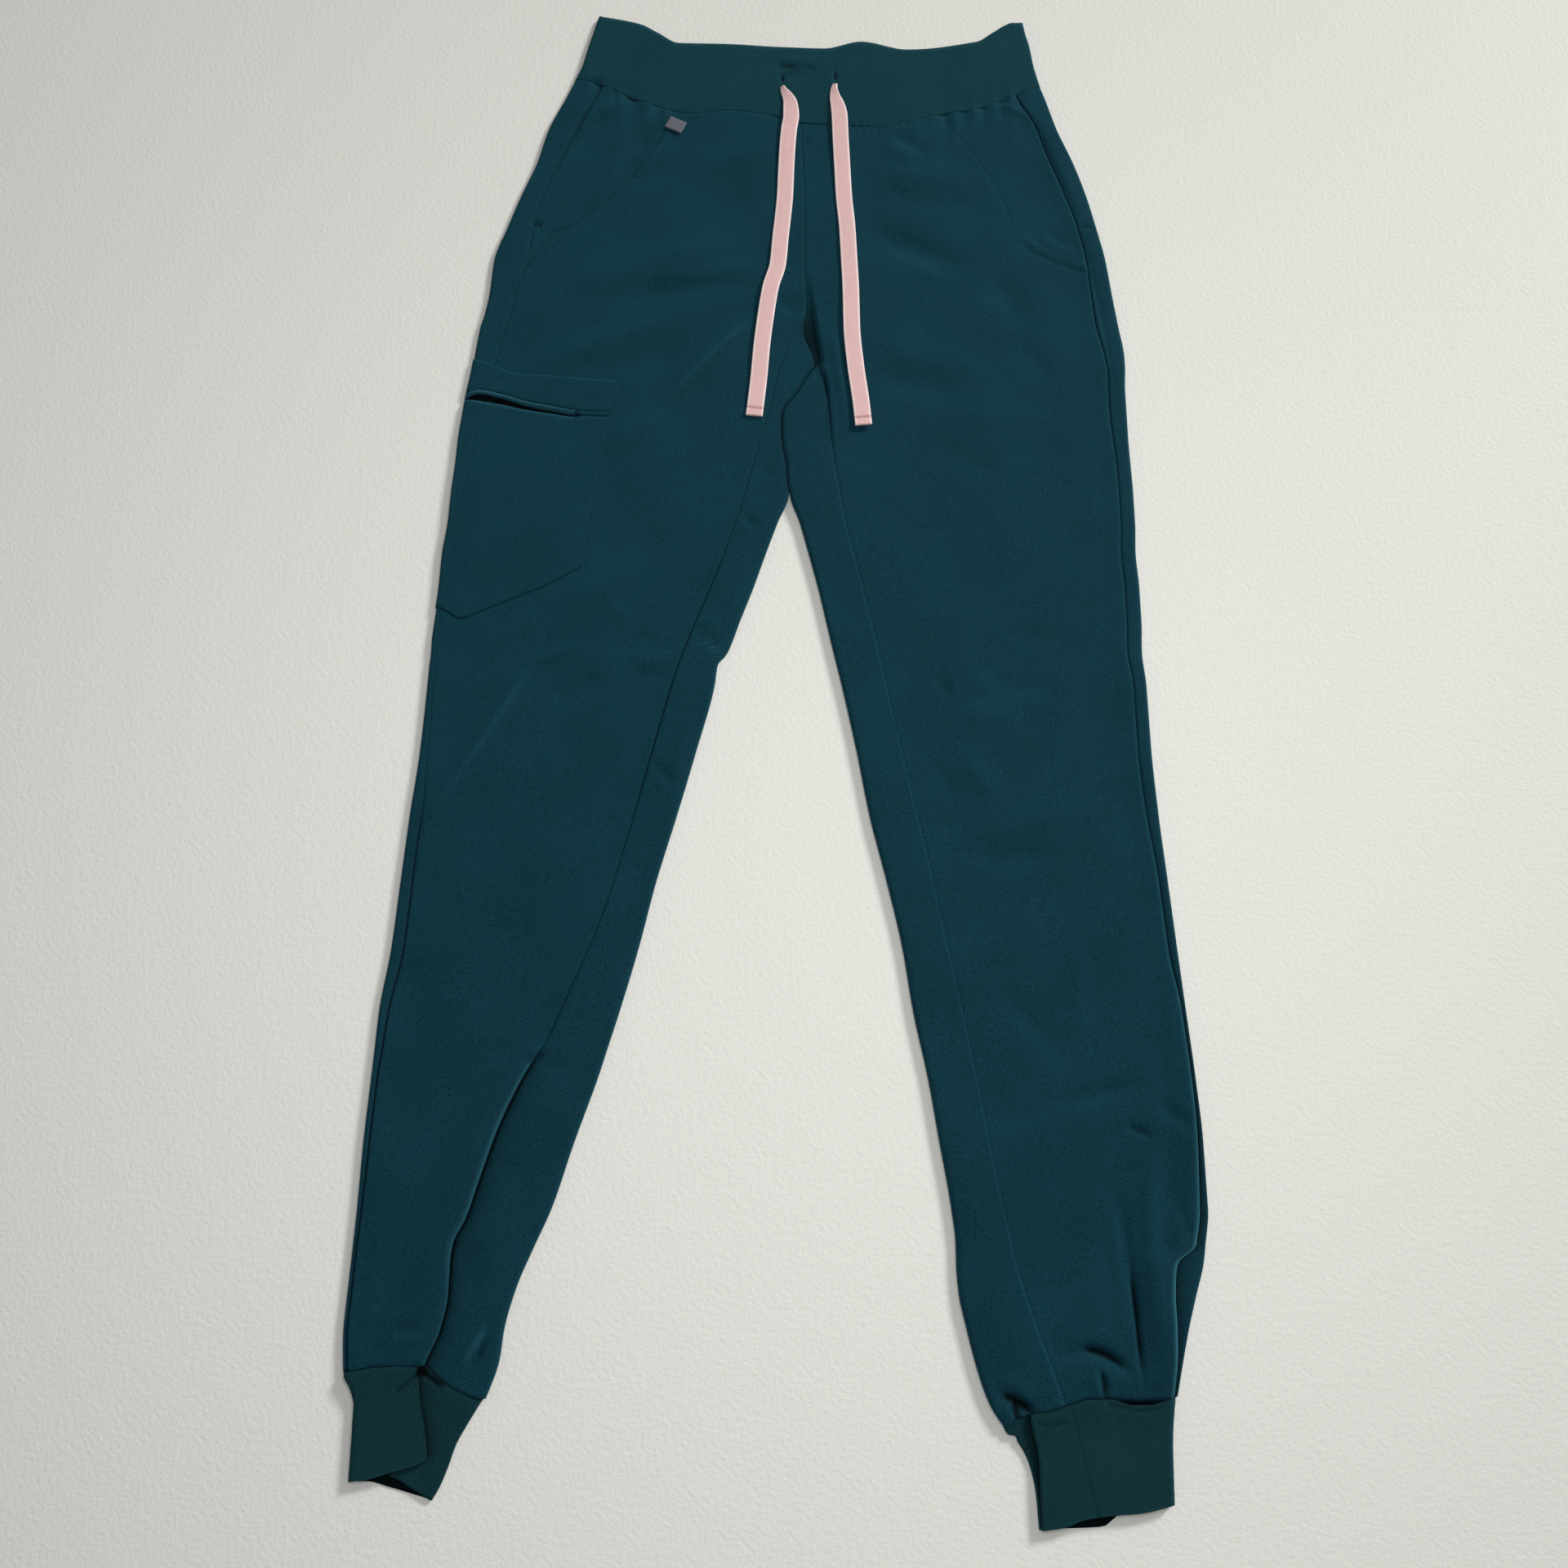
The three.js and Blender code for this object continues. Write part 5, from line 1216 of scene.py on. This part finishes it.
# The cuffs: rib-knit tubes, a little turned as the legs were laid down, so that each has a pleat
# running up it. Its top layer ends in a folded edge, goes back under itself and comes out again.
CUFF_ROWS = 41
CUFF_STRETCHES = [
    ["under", 60], ["inner_turn", 12], ["lower", 96], ["tuck_fold", 8], ["middle", 32],
    ["flap_fold", 12], ["flap", 184], ["outer_turn", 12],
]
CUFF_HEMS = {
    "under": ["under", "under"], "inner_turn": ["under", "lower"], "lower": ["lower", "lower"],
    "tuck_fold": ["lower", "middle"], "middle": ["middle", "middle"], "flap_fold": ["middle", "flap"],
    "flap": ["flap", "flap"], "outer_turn": ["flap", "under"],
}
CUFF_LEVELS = {"lower": [4.6, 2.9], "middle": [5.2, 3.5], "flap": [8.4, 6.6]}
CUFF_WALL = 0.9
CUFF_SETTLED = 0.35
CUFF_DARK = (0.0037, 0.0210, 0.0262, 1)
CUFF_LIGHT = (0.0073, 0.0420, 0.0508, 1)

# Where the edges of each cuff's layers run from the ankle seam down, and where its hems lie.
RIGHT_CUFF_EDGES = table(["y", "outer", "flap", "tuck", "inner"], [
    [-425, -253, -208, -216, -168], [-431, -252.5, -209, -217, -168], [-437, -249, -208.5, -218, -168.5],
    [-447, -246, -207, -219, -174], [-457, -246, -204.5, -220, -180], [-468, -246, -202.5, -221, -186],
    [-480, -246, -201, -222, -190], [-490, -246, -200.5, -223, -194], [-498, -246, -200, -224, -198.5],
])
RIGHT_HEMS = table(["x", "under", "lower", "middle", "flap"], [
    [-246, -487.5, -485, -486, -487], [-236, -487.5, -485, -486, -486], [-223, -490.5, -485, -483, -482.5],
    [-210, -494, -491, -479, -479], [-201, -496.5, -496, -475.5, -475.5], [-198, -497.5, -497.5, -475, -475],
])
LEFT_CUFF_EDGES = table(["y", "outer", "flap", "tuck", "inner"], [
    [-441, 228.5, 143, 156, 127], [-452, 227, 143.5, 158, 127], [-461, 226, 145, 160, 130],
    [-467, 225.5, 146.5, 161, 137], [-479, 225, 148, 162, 143], [-494, 224.5, 148, 162, 146],
    [-512, 224, 148.2, 162, 147],
])
LEFT_HEMS = table(["x", "under", "lower", "middle", "flap"], [
    [146, -512.8, -512.8, -512.8, -512.8], [160, -512.2, -511.5, -511.5, -511],
    [172, -511.8, -507, -507, -507], [185, -511, -505, -505, -505], [190, -506, -504.5, -504.5, -504.5],
    [204, -504, -503.5, -503.5, -503.5], [225, -499, -499, -499, -499],
])

# Creases in the cuffs, where the right one's pleat begins and where the left one is gathered.
CUFF_FOLDS = {
    -1: [sewn_line(row) for row in (
        {"line": [[-222, -440], [-215, -434], [-208, -428]], "width": 2.2, "height": -0.8},
        {"line": [[-209, -425], [-204, -431], [-194, -438]], "width": 2.6, "height": -1.3},
        {"line": [[-207, -431], [-199, -437], [-190, -439]], "width": 1.4, "height": 0.6},
    )],
    1: [sewn_line(row) for row in (
        {"line": [[146, -455], [154, -457], [166, -455]], "width": 1.3, "height": -0.8},
        {"line": [[186, -445], [206, -449], [222, -447]], "width": 1.6, "height": -0.8},
    )],
}

# How much painted shade the parts under the folded edge get, and how much painted highlight its rims
# get. The left cuff's fold faces the light, so a crease there has to be deeper before it looks dark.
CUFF_SHADES = {
    -1: {"tuck_fold": 0.3, "middle": 0.15, "flap_fold": 0.35},
    1: {"tuck_fold": 0.3, "middle": 0.15, "flap_fold": -0.25},
}
BESIDE_FLAP = {"far": 0.42, "far_reach": 7, "near": 0.4, "near_reach": 2}
BELOW_FLAP = {"start": 1, "over": 3, "share": 0.25}
CUFF_CREASE = {"from": 0.2, "over": 1.2, "most": 0.8}
CUFF_TOP = {"depth": 0.6, "dip_width": 1.1, "dark": 0.3, "dark_width": 1.0}
FLAP_HIGHLIGHT = {"light": 0.35, "inside": 0.5, "width": 0.7}
HEM_HIGHLIGHT = {"light": 0.25, "width": 0.7}
LEFT_CUFF_SEAM = {"top": (169, -452), "low": (180, -503), "width": 0.6, "dark": 0.3}


def each_column(values):
    """A value for each column of a cuff's section: its part's value, or 0 where there is none."""
    return np.concatenate([np.full(count, values.get(name, 0.0)) for name, count in CUFF_STRETCHES])[None, :]


def make_cuff(leg, edges, hems):
    """A cuff's tube: along the underside and round the inner edge to the pleat, back under the flap
    and out again at the flap's fold, and over the flap to the outer edge."""
    side, ankle = leg["side"], leg["ankle"]
    edge = {key: curve(edges, "y", key) for key in ("outer", "flap", "tuck", "inner")}
    hem = {key: curve(hems, "x", key) for key in ("under", "lower", "middle", "flap")}

    def place(name, t, y, share):
        outer = edge["outer"](y)
        inner, tuck, flap = (side * (outer - edge[key](y)) for key in ("inner", "tuck", "flap"))
        settled = smooth(share / CUFF_SETTLED)
        z1, z2, z3 = (lerp(*CUFF_LEVELS[key], settled) for key in ("lower", "middle", "flap"))
        h1, h2, h3, h4 = z1 / 2, (z2 - z1) / 2, (z3 - z2) / 2, z3 / 2
        sine, cosine = np.sin(np.pi * t), np.cos(np.pi * t)
        across, up = {
            "under": lambda: (lerp(h4, inner - h1, t), 0 * y),
            "inner_turn": lambda: (inner - h1 + h1 * sine, h1 - h1 * cosine),
            "lower": lambda: (lerp(inner - h1, tuck + h2, t), z1),
            "tuck_fold": lambda: (tuck + h2 - h2 * sine, z1 + h2 - h2 * cosine),
            "middle": lambda: (lerp(tuck + h2, flap - h3, t), z2),
            "flap_fold": lambda: (flap - h3 + h3 * sine, z2 + h3 - h3 * cosine),
            "flap": lambda: (lerp(flap - h3, h4, t), z3),
            "outer_turn": lambda: (h4 - h4 * sine, h4 + h4 * cosine),
        }[name]()
        return outer - side * across, up + 0 * y

    def finish(name, t, x):
        first, last = CUFF_HEMS[name]
        return lerp(hem[first](x), hem[last](x), t)

    at = tube_skin(
        CUFF_STRETCHES, CUFF_ROWS, (leg["ankle_nominal"], edges[-1]["y"]), place,
        lambda x: ankle(x) - GAP / 2, finish, -side,
    )
    x, y, facing = at["x"], at["y"], smooth(at["nz"])
    from_seam, from_hem = ankle(x) - y, y - hem["flap"](x)
    creased = fold_lift(CUFF_FOLDS[side], x, y)
    bulk = facing * (creased - CUFF_TOP["depth"] * hump(from_seam, CUFF_TOP["dip_width"]))
    # Painted shade beside and under the folded flap, in creases and along the ankle seam, and painted
    # highlights on the flap's rims.
    beside = np.abs(edge["flap"](y) - x)
    shaded = BESIDE_FLAP["far"] * np.exp(-beside / BESIDE_FLAP["far_reach"])
    shaded += BESIDE_FLAP["near"] * np.exp(-beside / BESIDE_FLAP["near_reach"])
    covered = smooth((from_hem + BELOW_FLAP["start"]) / BELOW_FLAP["over"])
    shaded *= lerp(BELOW_FLAP["share"], 1, covered)
    dark = np.where(each_column({"lower": 1}) > 0, shaded, each_column(CUFF_SHADES[side]))
    if side > 0:
        (top_x, top_y), (low_x, low_y) = LEFT_CUFF_SEAM["top"], LEFT_CUFF_SEAM["low"]
        seam_x = lerp(top_x, low_x, (y - top_y) / (low_y - top_y))
        dark = dark + LEFT_CUFF_SEAM["dark"] * hump(x - seam_x, LEFT_CUFF_SEAM["width"])
    dark = dark + CUFF_CREASE["most"] * smooth((-creased - CUFF_CREASE["from"]) / CUFF_CREASE["over"])
    light = HEM_HIGHLIGHT["light"] * hump(from_hem, HEM_HIGHLIGHT["width"])
    if side > 0:
        light = np.maximum(light, FLAP_HIGHLIGHT["light"] * hump(beside - FLAP_HIGHLIGHT["inside"], FLAP_HIGHLIGHT["width"]))
    dark = np.clip(dark, 0, 1) + CUFF_TOP["dark"] * hump(from_seam, CUFF_TOP["dark_width"])
    dark = dark - each_column({"flap": 1}) * light
    return tube_shell(at, ribs(at), bulk, CUFF_WALL, dark)


cuff_knit = cloth_finish("cuff_rib_knit", CUFF_DARK, CUFF_LIGHT, KNIT_SCALE, "X", KNIT_BUMP)
for leg, node, edges, hems in (
    (RIGHT, "cuff_right", RIGHT_CUFF_EDGES, RIGHT_HEMS), (LEFT, "cuff_left", LEFT_CUFF_EDGES, LEFT_HEMS),
):
    vertices, faces, dark = make_cuff(leg, edges, hems)
    cuff = add_piece(node + "_rib", vertices, faces, cuff_knit, "rib_knit", dark)
    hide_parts(node)

# The thigh pocket on the right leg: a yoke above the mouth, a narrow folded welt along it, and the
# patch below. All three lie on the panels and reach round the outer edge.
WRAP_TURN = math.radians(100)
WRAP_COLUMNS = 10
POCKET_COLUMNS = 111
POCKET_SPAN = {"from": 220, "to": 50}
POCKET_THICK = 0.6
WELT_WIDTH = 3
POCKET_EDGE_ROUND = {"depth": 0.4, "width": 1.0}
POCKET_EDGE_SHADE = {"most": 0.28, "width": 0.9}
MOUTH_HIGHLIGHT_END = {"x": -141, "over": 0.5}
MOUTH_END_LINE = {"x": -139.5, "width": 0.9, "reach": 3, "share": 1.6}
POCKET_EDGE = table(["y", "x"], [
    [232, -111], [212, -113], [196, -114.5], [178, -117], [163, -120], [141, -123], [118, -127],
    [96, -131], [74, -131.5], [30, -132],
])
YOKE_TOP = table(["x", "y"], [[-217, 230], [-200, 224], [-183, 217], [-160, 215], [-112, 211]])
MOUTH_LINE = table(["x", "y"], [
    [-217, 201], [-208, 204], [-192, 201], [-174, 195.5], [-156, 192], [-137, 188.5], [-117, 187],
])
BODY_TOP = table(["x", "y"], [
    [-218, 198], [-213, 197.6], [-208, 196], [-192, 193.5], [-174, 190], [-156, 187.5], [-141, 185],
    [-117, 183.5],
])
BODY_BOTTOM = table(["x", "y"], [
    [-227, 45], [-219, 41], [-211, 36.5], [-199, 41], [-174, 52], [-153, 61], [-131, 74],
])
pocket_edge = curve(POCKET_EDGE, "y", "x")
yoke_top = curve(YOKE_TOP, "x", "y")
mouth = curve(MOUTH_LINE, "x", "y")
body_top = curve(BODY_TOP, "x", "y")
body_bottom = curve(BODY_BOTTOM, "x", "y")


def pocket_piece(part):
    """A piece of the pocket: made from the leg's own points, moved out by its lie and thickness."""
    top, bottom, light = part["top"], part["bottom"], part["light"]
    share_row = np.linspace(0, 1, part["rows"])[:, None]
    flat = POCKET_COLUMNS - WRAP_COLUMNS
    even = np.linspace(0, 1, flat)
    across_share = np.concatenate([even, np.ones(WRAP_COLUMNS)])[None, :]
    wrap = np.concatenate([np.zeros(flat), np.linspace(0, 1, WRAP_COLUMNS + 1)[1:]])[None, :]

    def grid(depth, on_skin):
        y = np.repeat(lerp(POCKET_SPAN["from"], POCKET_SPAN["to"], share_row), POCKET_COLUMNS, axis=1)
        for _ in range(SETTLE_PASSES + 1):
            at = section(RIGHT, y)
            edge = length_at(at, at["inner"] - pocket_edge(y))
            length = lerp(edge, at["top_end"], across_share) + at["outer_round"] * WRAP_TURN * wrap
            across, up, normal_across, normal_up = skin(at, length)
            lift, _, _ = relief(at, across, 1)
            x = at["inner"] - (across + depth * normal_across)
            z = up + depth * normal_up + np.maximum(normal_up, 0) * lift
            y = lerp(top(x), bottom(x), share_row)
        bulge = np.sin(np.pi * share_row) * np.sin(np.pi * across_share * (1 - wrap))
        from_side, from_top, from_bottom = np.abs(x - pocket_edge(y)), top(x) - y, y - bottom(x)
        from_edge = np.minimum(from_side, np.minimum(from_top, from_bottom))
        rounded = POCKET_EDGE_ROUND["depth"] * hump(from_edge, POCKET_EDGE_ROUND["width"]) * on_skin
        # Painted shade along the sides, the bottom and the mouth's end, and a painted highlight along the top
        # of the welt and the patch.
        highlight_end = smooth((MOUTH_HIGHLIGHT_END["x"] - x) / MOUTH_HIGHLIGHT_END["over"] + 1)
        shaded_edge = hump(np.minimum(from_side, from_bottom), POCKET_EDGE_SHADE["width"])
        end_line = hump(x - MOUTH_END_LINE["x"], MOUTH_END_LINE["width"])
        end_line *= hump(from_top, MOUTH_END_LINE["reach"])
        dark = POCKET_EDGE_SHADE["most"] * shaded_edge + light * MOUTH_END_LINE["share"] * end_line
        dark -= light * highlight_end * hump(from_top, part["highlight_reach"])
        return dark, np.stack([x, y, z + part["puff"] * bulge - rounded], axis=-1)

    outer_dark, outer = grid(part["lie"] + POCKET_THICK, 1.0)
    inner_dark, inner = grid(part["lie"], 0.0)
    vertices, faces = shell(outer, inner[::2, ::2])
    return vertices, faces, np.concatenate([outer_dark.ravel(), inner_dark[::2, ::2].ravel()])


# Each part's ends, rows, distance from the cloth below it, fullness, and the painted highlight along
# its top.
POCKET_PARTS = (
    {"name": "pocket_yoke_cloth", "node": "cargo_pocket_yoke",
     "top": yoke_top, "bottom": lambda x: mouth(x) + GAP / 2,
     "rows": 21, "lie": 0.2, "puff": 0.0, "light": 0.0, "highlight_reach": 1.0,
     "flat": (0.108, 0.028), "area": 0.0027},
    {"name": "pocket_welt_cloth", "node": "cargo_pocket_welt",
     "top": lambda x: mouth(x) - GAP / 2, "bottom": lambda x: mouth(x) - WELT_WIDTH,
     "rows": 9, "lie": 0.45, "puff": 0.0, "light": 0.38, "highlight_reach": 40.0,
     "flat": (0.106, 0.01), "area": 0.00032},
    {"name": "pocket_body_cloth", "node": "cargo_pocket_body",
     "top": body_top, "bottom": body_bottom,
     "rows": 101, "lie": 0.2, "puff": 0.9, "light": 0.32, "highlight_reach": 1.3,
     "flat": (0.11, 0.16), "area": 0.0145},
)
for part in POCKET_PARTS:
    vertices, faces, dark = pocket_piece(part)
    pocket = add_piece(part["name"], vertices, faces, twill, "twill", dark)
    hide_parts(part["node"])

# The tab: a short grey woven ribbon, folded, with its ends caught in the seam below the waistband. It
# lies flat on the right front, and is plain.
TAB = {"x": -75.8, "y": 416.6, "length": 13, "width": 9.8, "turn": math.radians(-26)}
TAB_HEIGHT = {"lift": 6.2, "thick": 0.7, "middle": 0.25, "edge_share": 0.05, "tilt": -0.3}
TAB_ROWS = 25
TAB_COLUMNS = 19
TAB_DARK = (0.108, 0.117, 0.134, 1)
TAB_LIGHT = (0.122, 0.132, 0.150, 1)
tab_finish = cloth_finish("tab_weave", TAB_DARK, TAB_LIGHT, thread_scale=700.0, direction="X", bump=0.3)
u, v = np.meshgrid(np.linspace(-0.5, 0.5, TAB_ROWS), np.linspace(-0.5, 0.5, TAB_COLUMNS), indexing="ij")
tab_x = TAB["x"] + u * TAB["length"] * math.cos(TAB["turn"]) - v * TAB["width"] * math.sin(TAB["turn"])
tab_y = TAB["y"] + u * TAB["length"] * math.sin(TAB["turn"]) + v * TAB["width"] * math.cos(TAB["turn"])
border = np.minimum(0.5 - np.abs(u), 0.5 - np.abs(v))
tab_middle = TAB_HEIGHT["middle"] * smooth(border / TAB_HEIGHT["edge_share"])
tab_z = TAB_HEIGHT["lift"] + tab_middle + TAB_HEIGHT["tilt"] * v
tab_top = np.stack([tab_x, tab_y, tab_z], axis=-1)
tab_low = tab_top - np.array([0, 0, TAB_HEIGHT["thick"]])
tab = add_piece("waist_tab", *shell(tab_top, tab_low[::2, ::2]), tab_finish, "tab_weave")
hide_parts("label_tab")

# The sewing: rows of short threads in the cloth's own colour. Each dips into the cloth at its ends.
# Their height comes from the cloth below them. Bar tacks are short rows of close stitches.
THREAD_HALF = 0.2
THREAD_RISE = 0.28
THREAD_SUNK = 0.12
THREAD_POINTS = 5
THREAD_SECTION = [[-1, -0.1], [0, 0.12], [1, -0.1], [0, -0.3]]
SHORTEST_THREAD = 0.3
ABOVE_ALL = 0.04
THREAD_DARK = (0.0050, 0.030, 0.041, 1)
THREAD_LIGHT = (0.0095, 0.056, 0.074, 1)
STITCH = {"pitch": 3.1, "length": 2.3}
TACK = {"pitch": 1.0, "length": 0.9}
WELT_LINE = [[x, float(mouth(x)) + 1.6] for x in range(-210, -118, 6)]
MOUTH_HEM = [[x, float(body_top(x)) - 4] for x in range(-212, -120, 6)]
SEWN_ROWS = [
    [STITCH, [[x, float(yoke_top(x)) - 1.6] for x in range(-206, -113, 6)]],
    [STITCH, [[-205, 215], [-185, 212], [-160, 210], [-114, 207]]],
    [STITCH, WELT_LINE],
    [STITCH, MOUTH_HEM],
    [STITCH, [[float(pocket_edge(y)) - 1.5, y] for y in range(208, 74, -6)]],
    [STITCH, [[float(pocket_edge(y)) - 5.5, y] for y in range(178, 74, -6)]],
    [STITCH, [[x, float(body_bottom(x)) + 1.6] for x in range(-208, -132, 6)]],
    [TACK, [[-141, 186], [-141, 190]]],
    [TACK, [[-119, 181], [-124, 181]]],
    [STITCH, BAG_RIGHT],
    [STITCH, BAG_LEFT[7:]],
    [TACK, [[-177, 335], [-169, 335]]],
    [TACK, [[212, 333], [220, 333]]],
    [TACK, [[20, 325], [38, 327]]],
    [STITCH, [[50, 413.5], [62, 412.5], [74, 411.5], [93, 416]]],
    [STITCH, [[50, 420], [62, 419], [74, 418], [93, 423]]],
]
hosts = [
    piece for piece in scene.objects
    if piece.name.endswith(("_cloth", "_rib")) and piece.type == "MESH"
]
bpy.context.view_layer.update()


def cloth_height(x, y):
    """The height of the highest cloth at a place, in millimetres."""
    heights = [0.0]
    for host in hosts:
        back = host.matrix_world.inverted()
        start = back @ Vector((x * MM, y * MM, ABOVE_ALL))
        hit, place, _, _ = host.ray_cast(start, back.to_3x3() @ Vector((0, 0, -1)))
        if hit:
            heights.append((host.matrix_world @ place).z / MM)
    return max(heights)


thread_points, thread_faces = [], []
for kind, line in SEWN_ROWS:
    line = np.array(line, float)
    run = np.concatenate([[0], np.cumsum(np.hypot(*np.diff(line, axis=0).T))])
    for middle in np.arange(kind["pitch"] / 2, run[-1], kind["pitch"]):
        along = middle + np.linspace(-0.5, 0.5, THREAD_POINTS) * kind["length"]
        x, y = (np.interp(along, run, line[:, k]) for k in (0, 1))
        ends = [cloth_height(x[k], y[k]) for k in (0, 2, 4)]
        heading = np.array([x[-1] - x[0], y[-1] - y[0]])
        size = np.hypot(*heading)
        if size < SHORTEST_THREAD:
            continue
        side_x, side_y = heading[1] / size * THREAD_HALF, -heading[0] / size * THREAD_HALF
        arch = np.sin(np.pi * np.linspace(0, 1, THREAD_POINTS))
        z = np.interp(np.arange(THREAD_POINTS), [0, 2, 4], ends) + THREAD_RISE * arch - THREAD_SUNK
        first = len(thread_points)
        for k in range(THREAD_POINTS):
            thread_points += [
                (x[k] + out * side_x, y[k] + out * side_y, z[k] + up) for out, up in THREAD_SECTION
            ]
        for k in range(THREAD_POINTS - 1):
            here = first + 4 * k
            for s in range(4):
                thread_faces.append([here + s, here + (s + 1) % 4, here + 4 + (s + 1) % 4, here + 4 + s])
        thread_faces.append([first + 3, first + 2, first + 1, first])
        last = first + 4 * (THREAD_POINTS - 1)
        thread_faces.append([last, last + 1, last + 2, last + 3])
thread = cloth_finish("thread", THREAD_DARK, THREAD_LIGHT, thread_scale=900.0, direction="X", bump=0.2)
add_piece("sewing_threads", thread_points, thread_faces, thread, "twill")
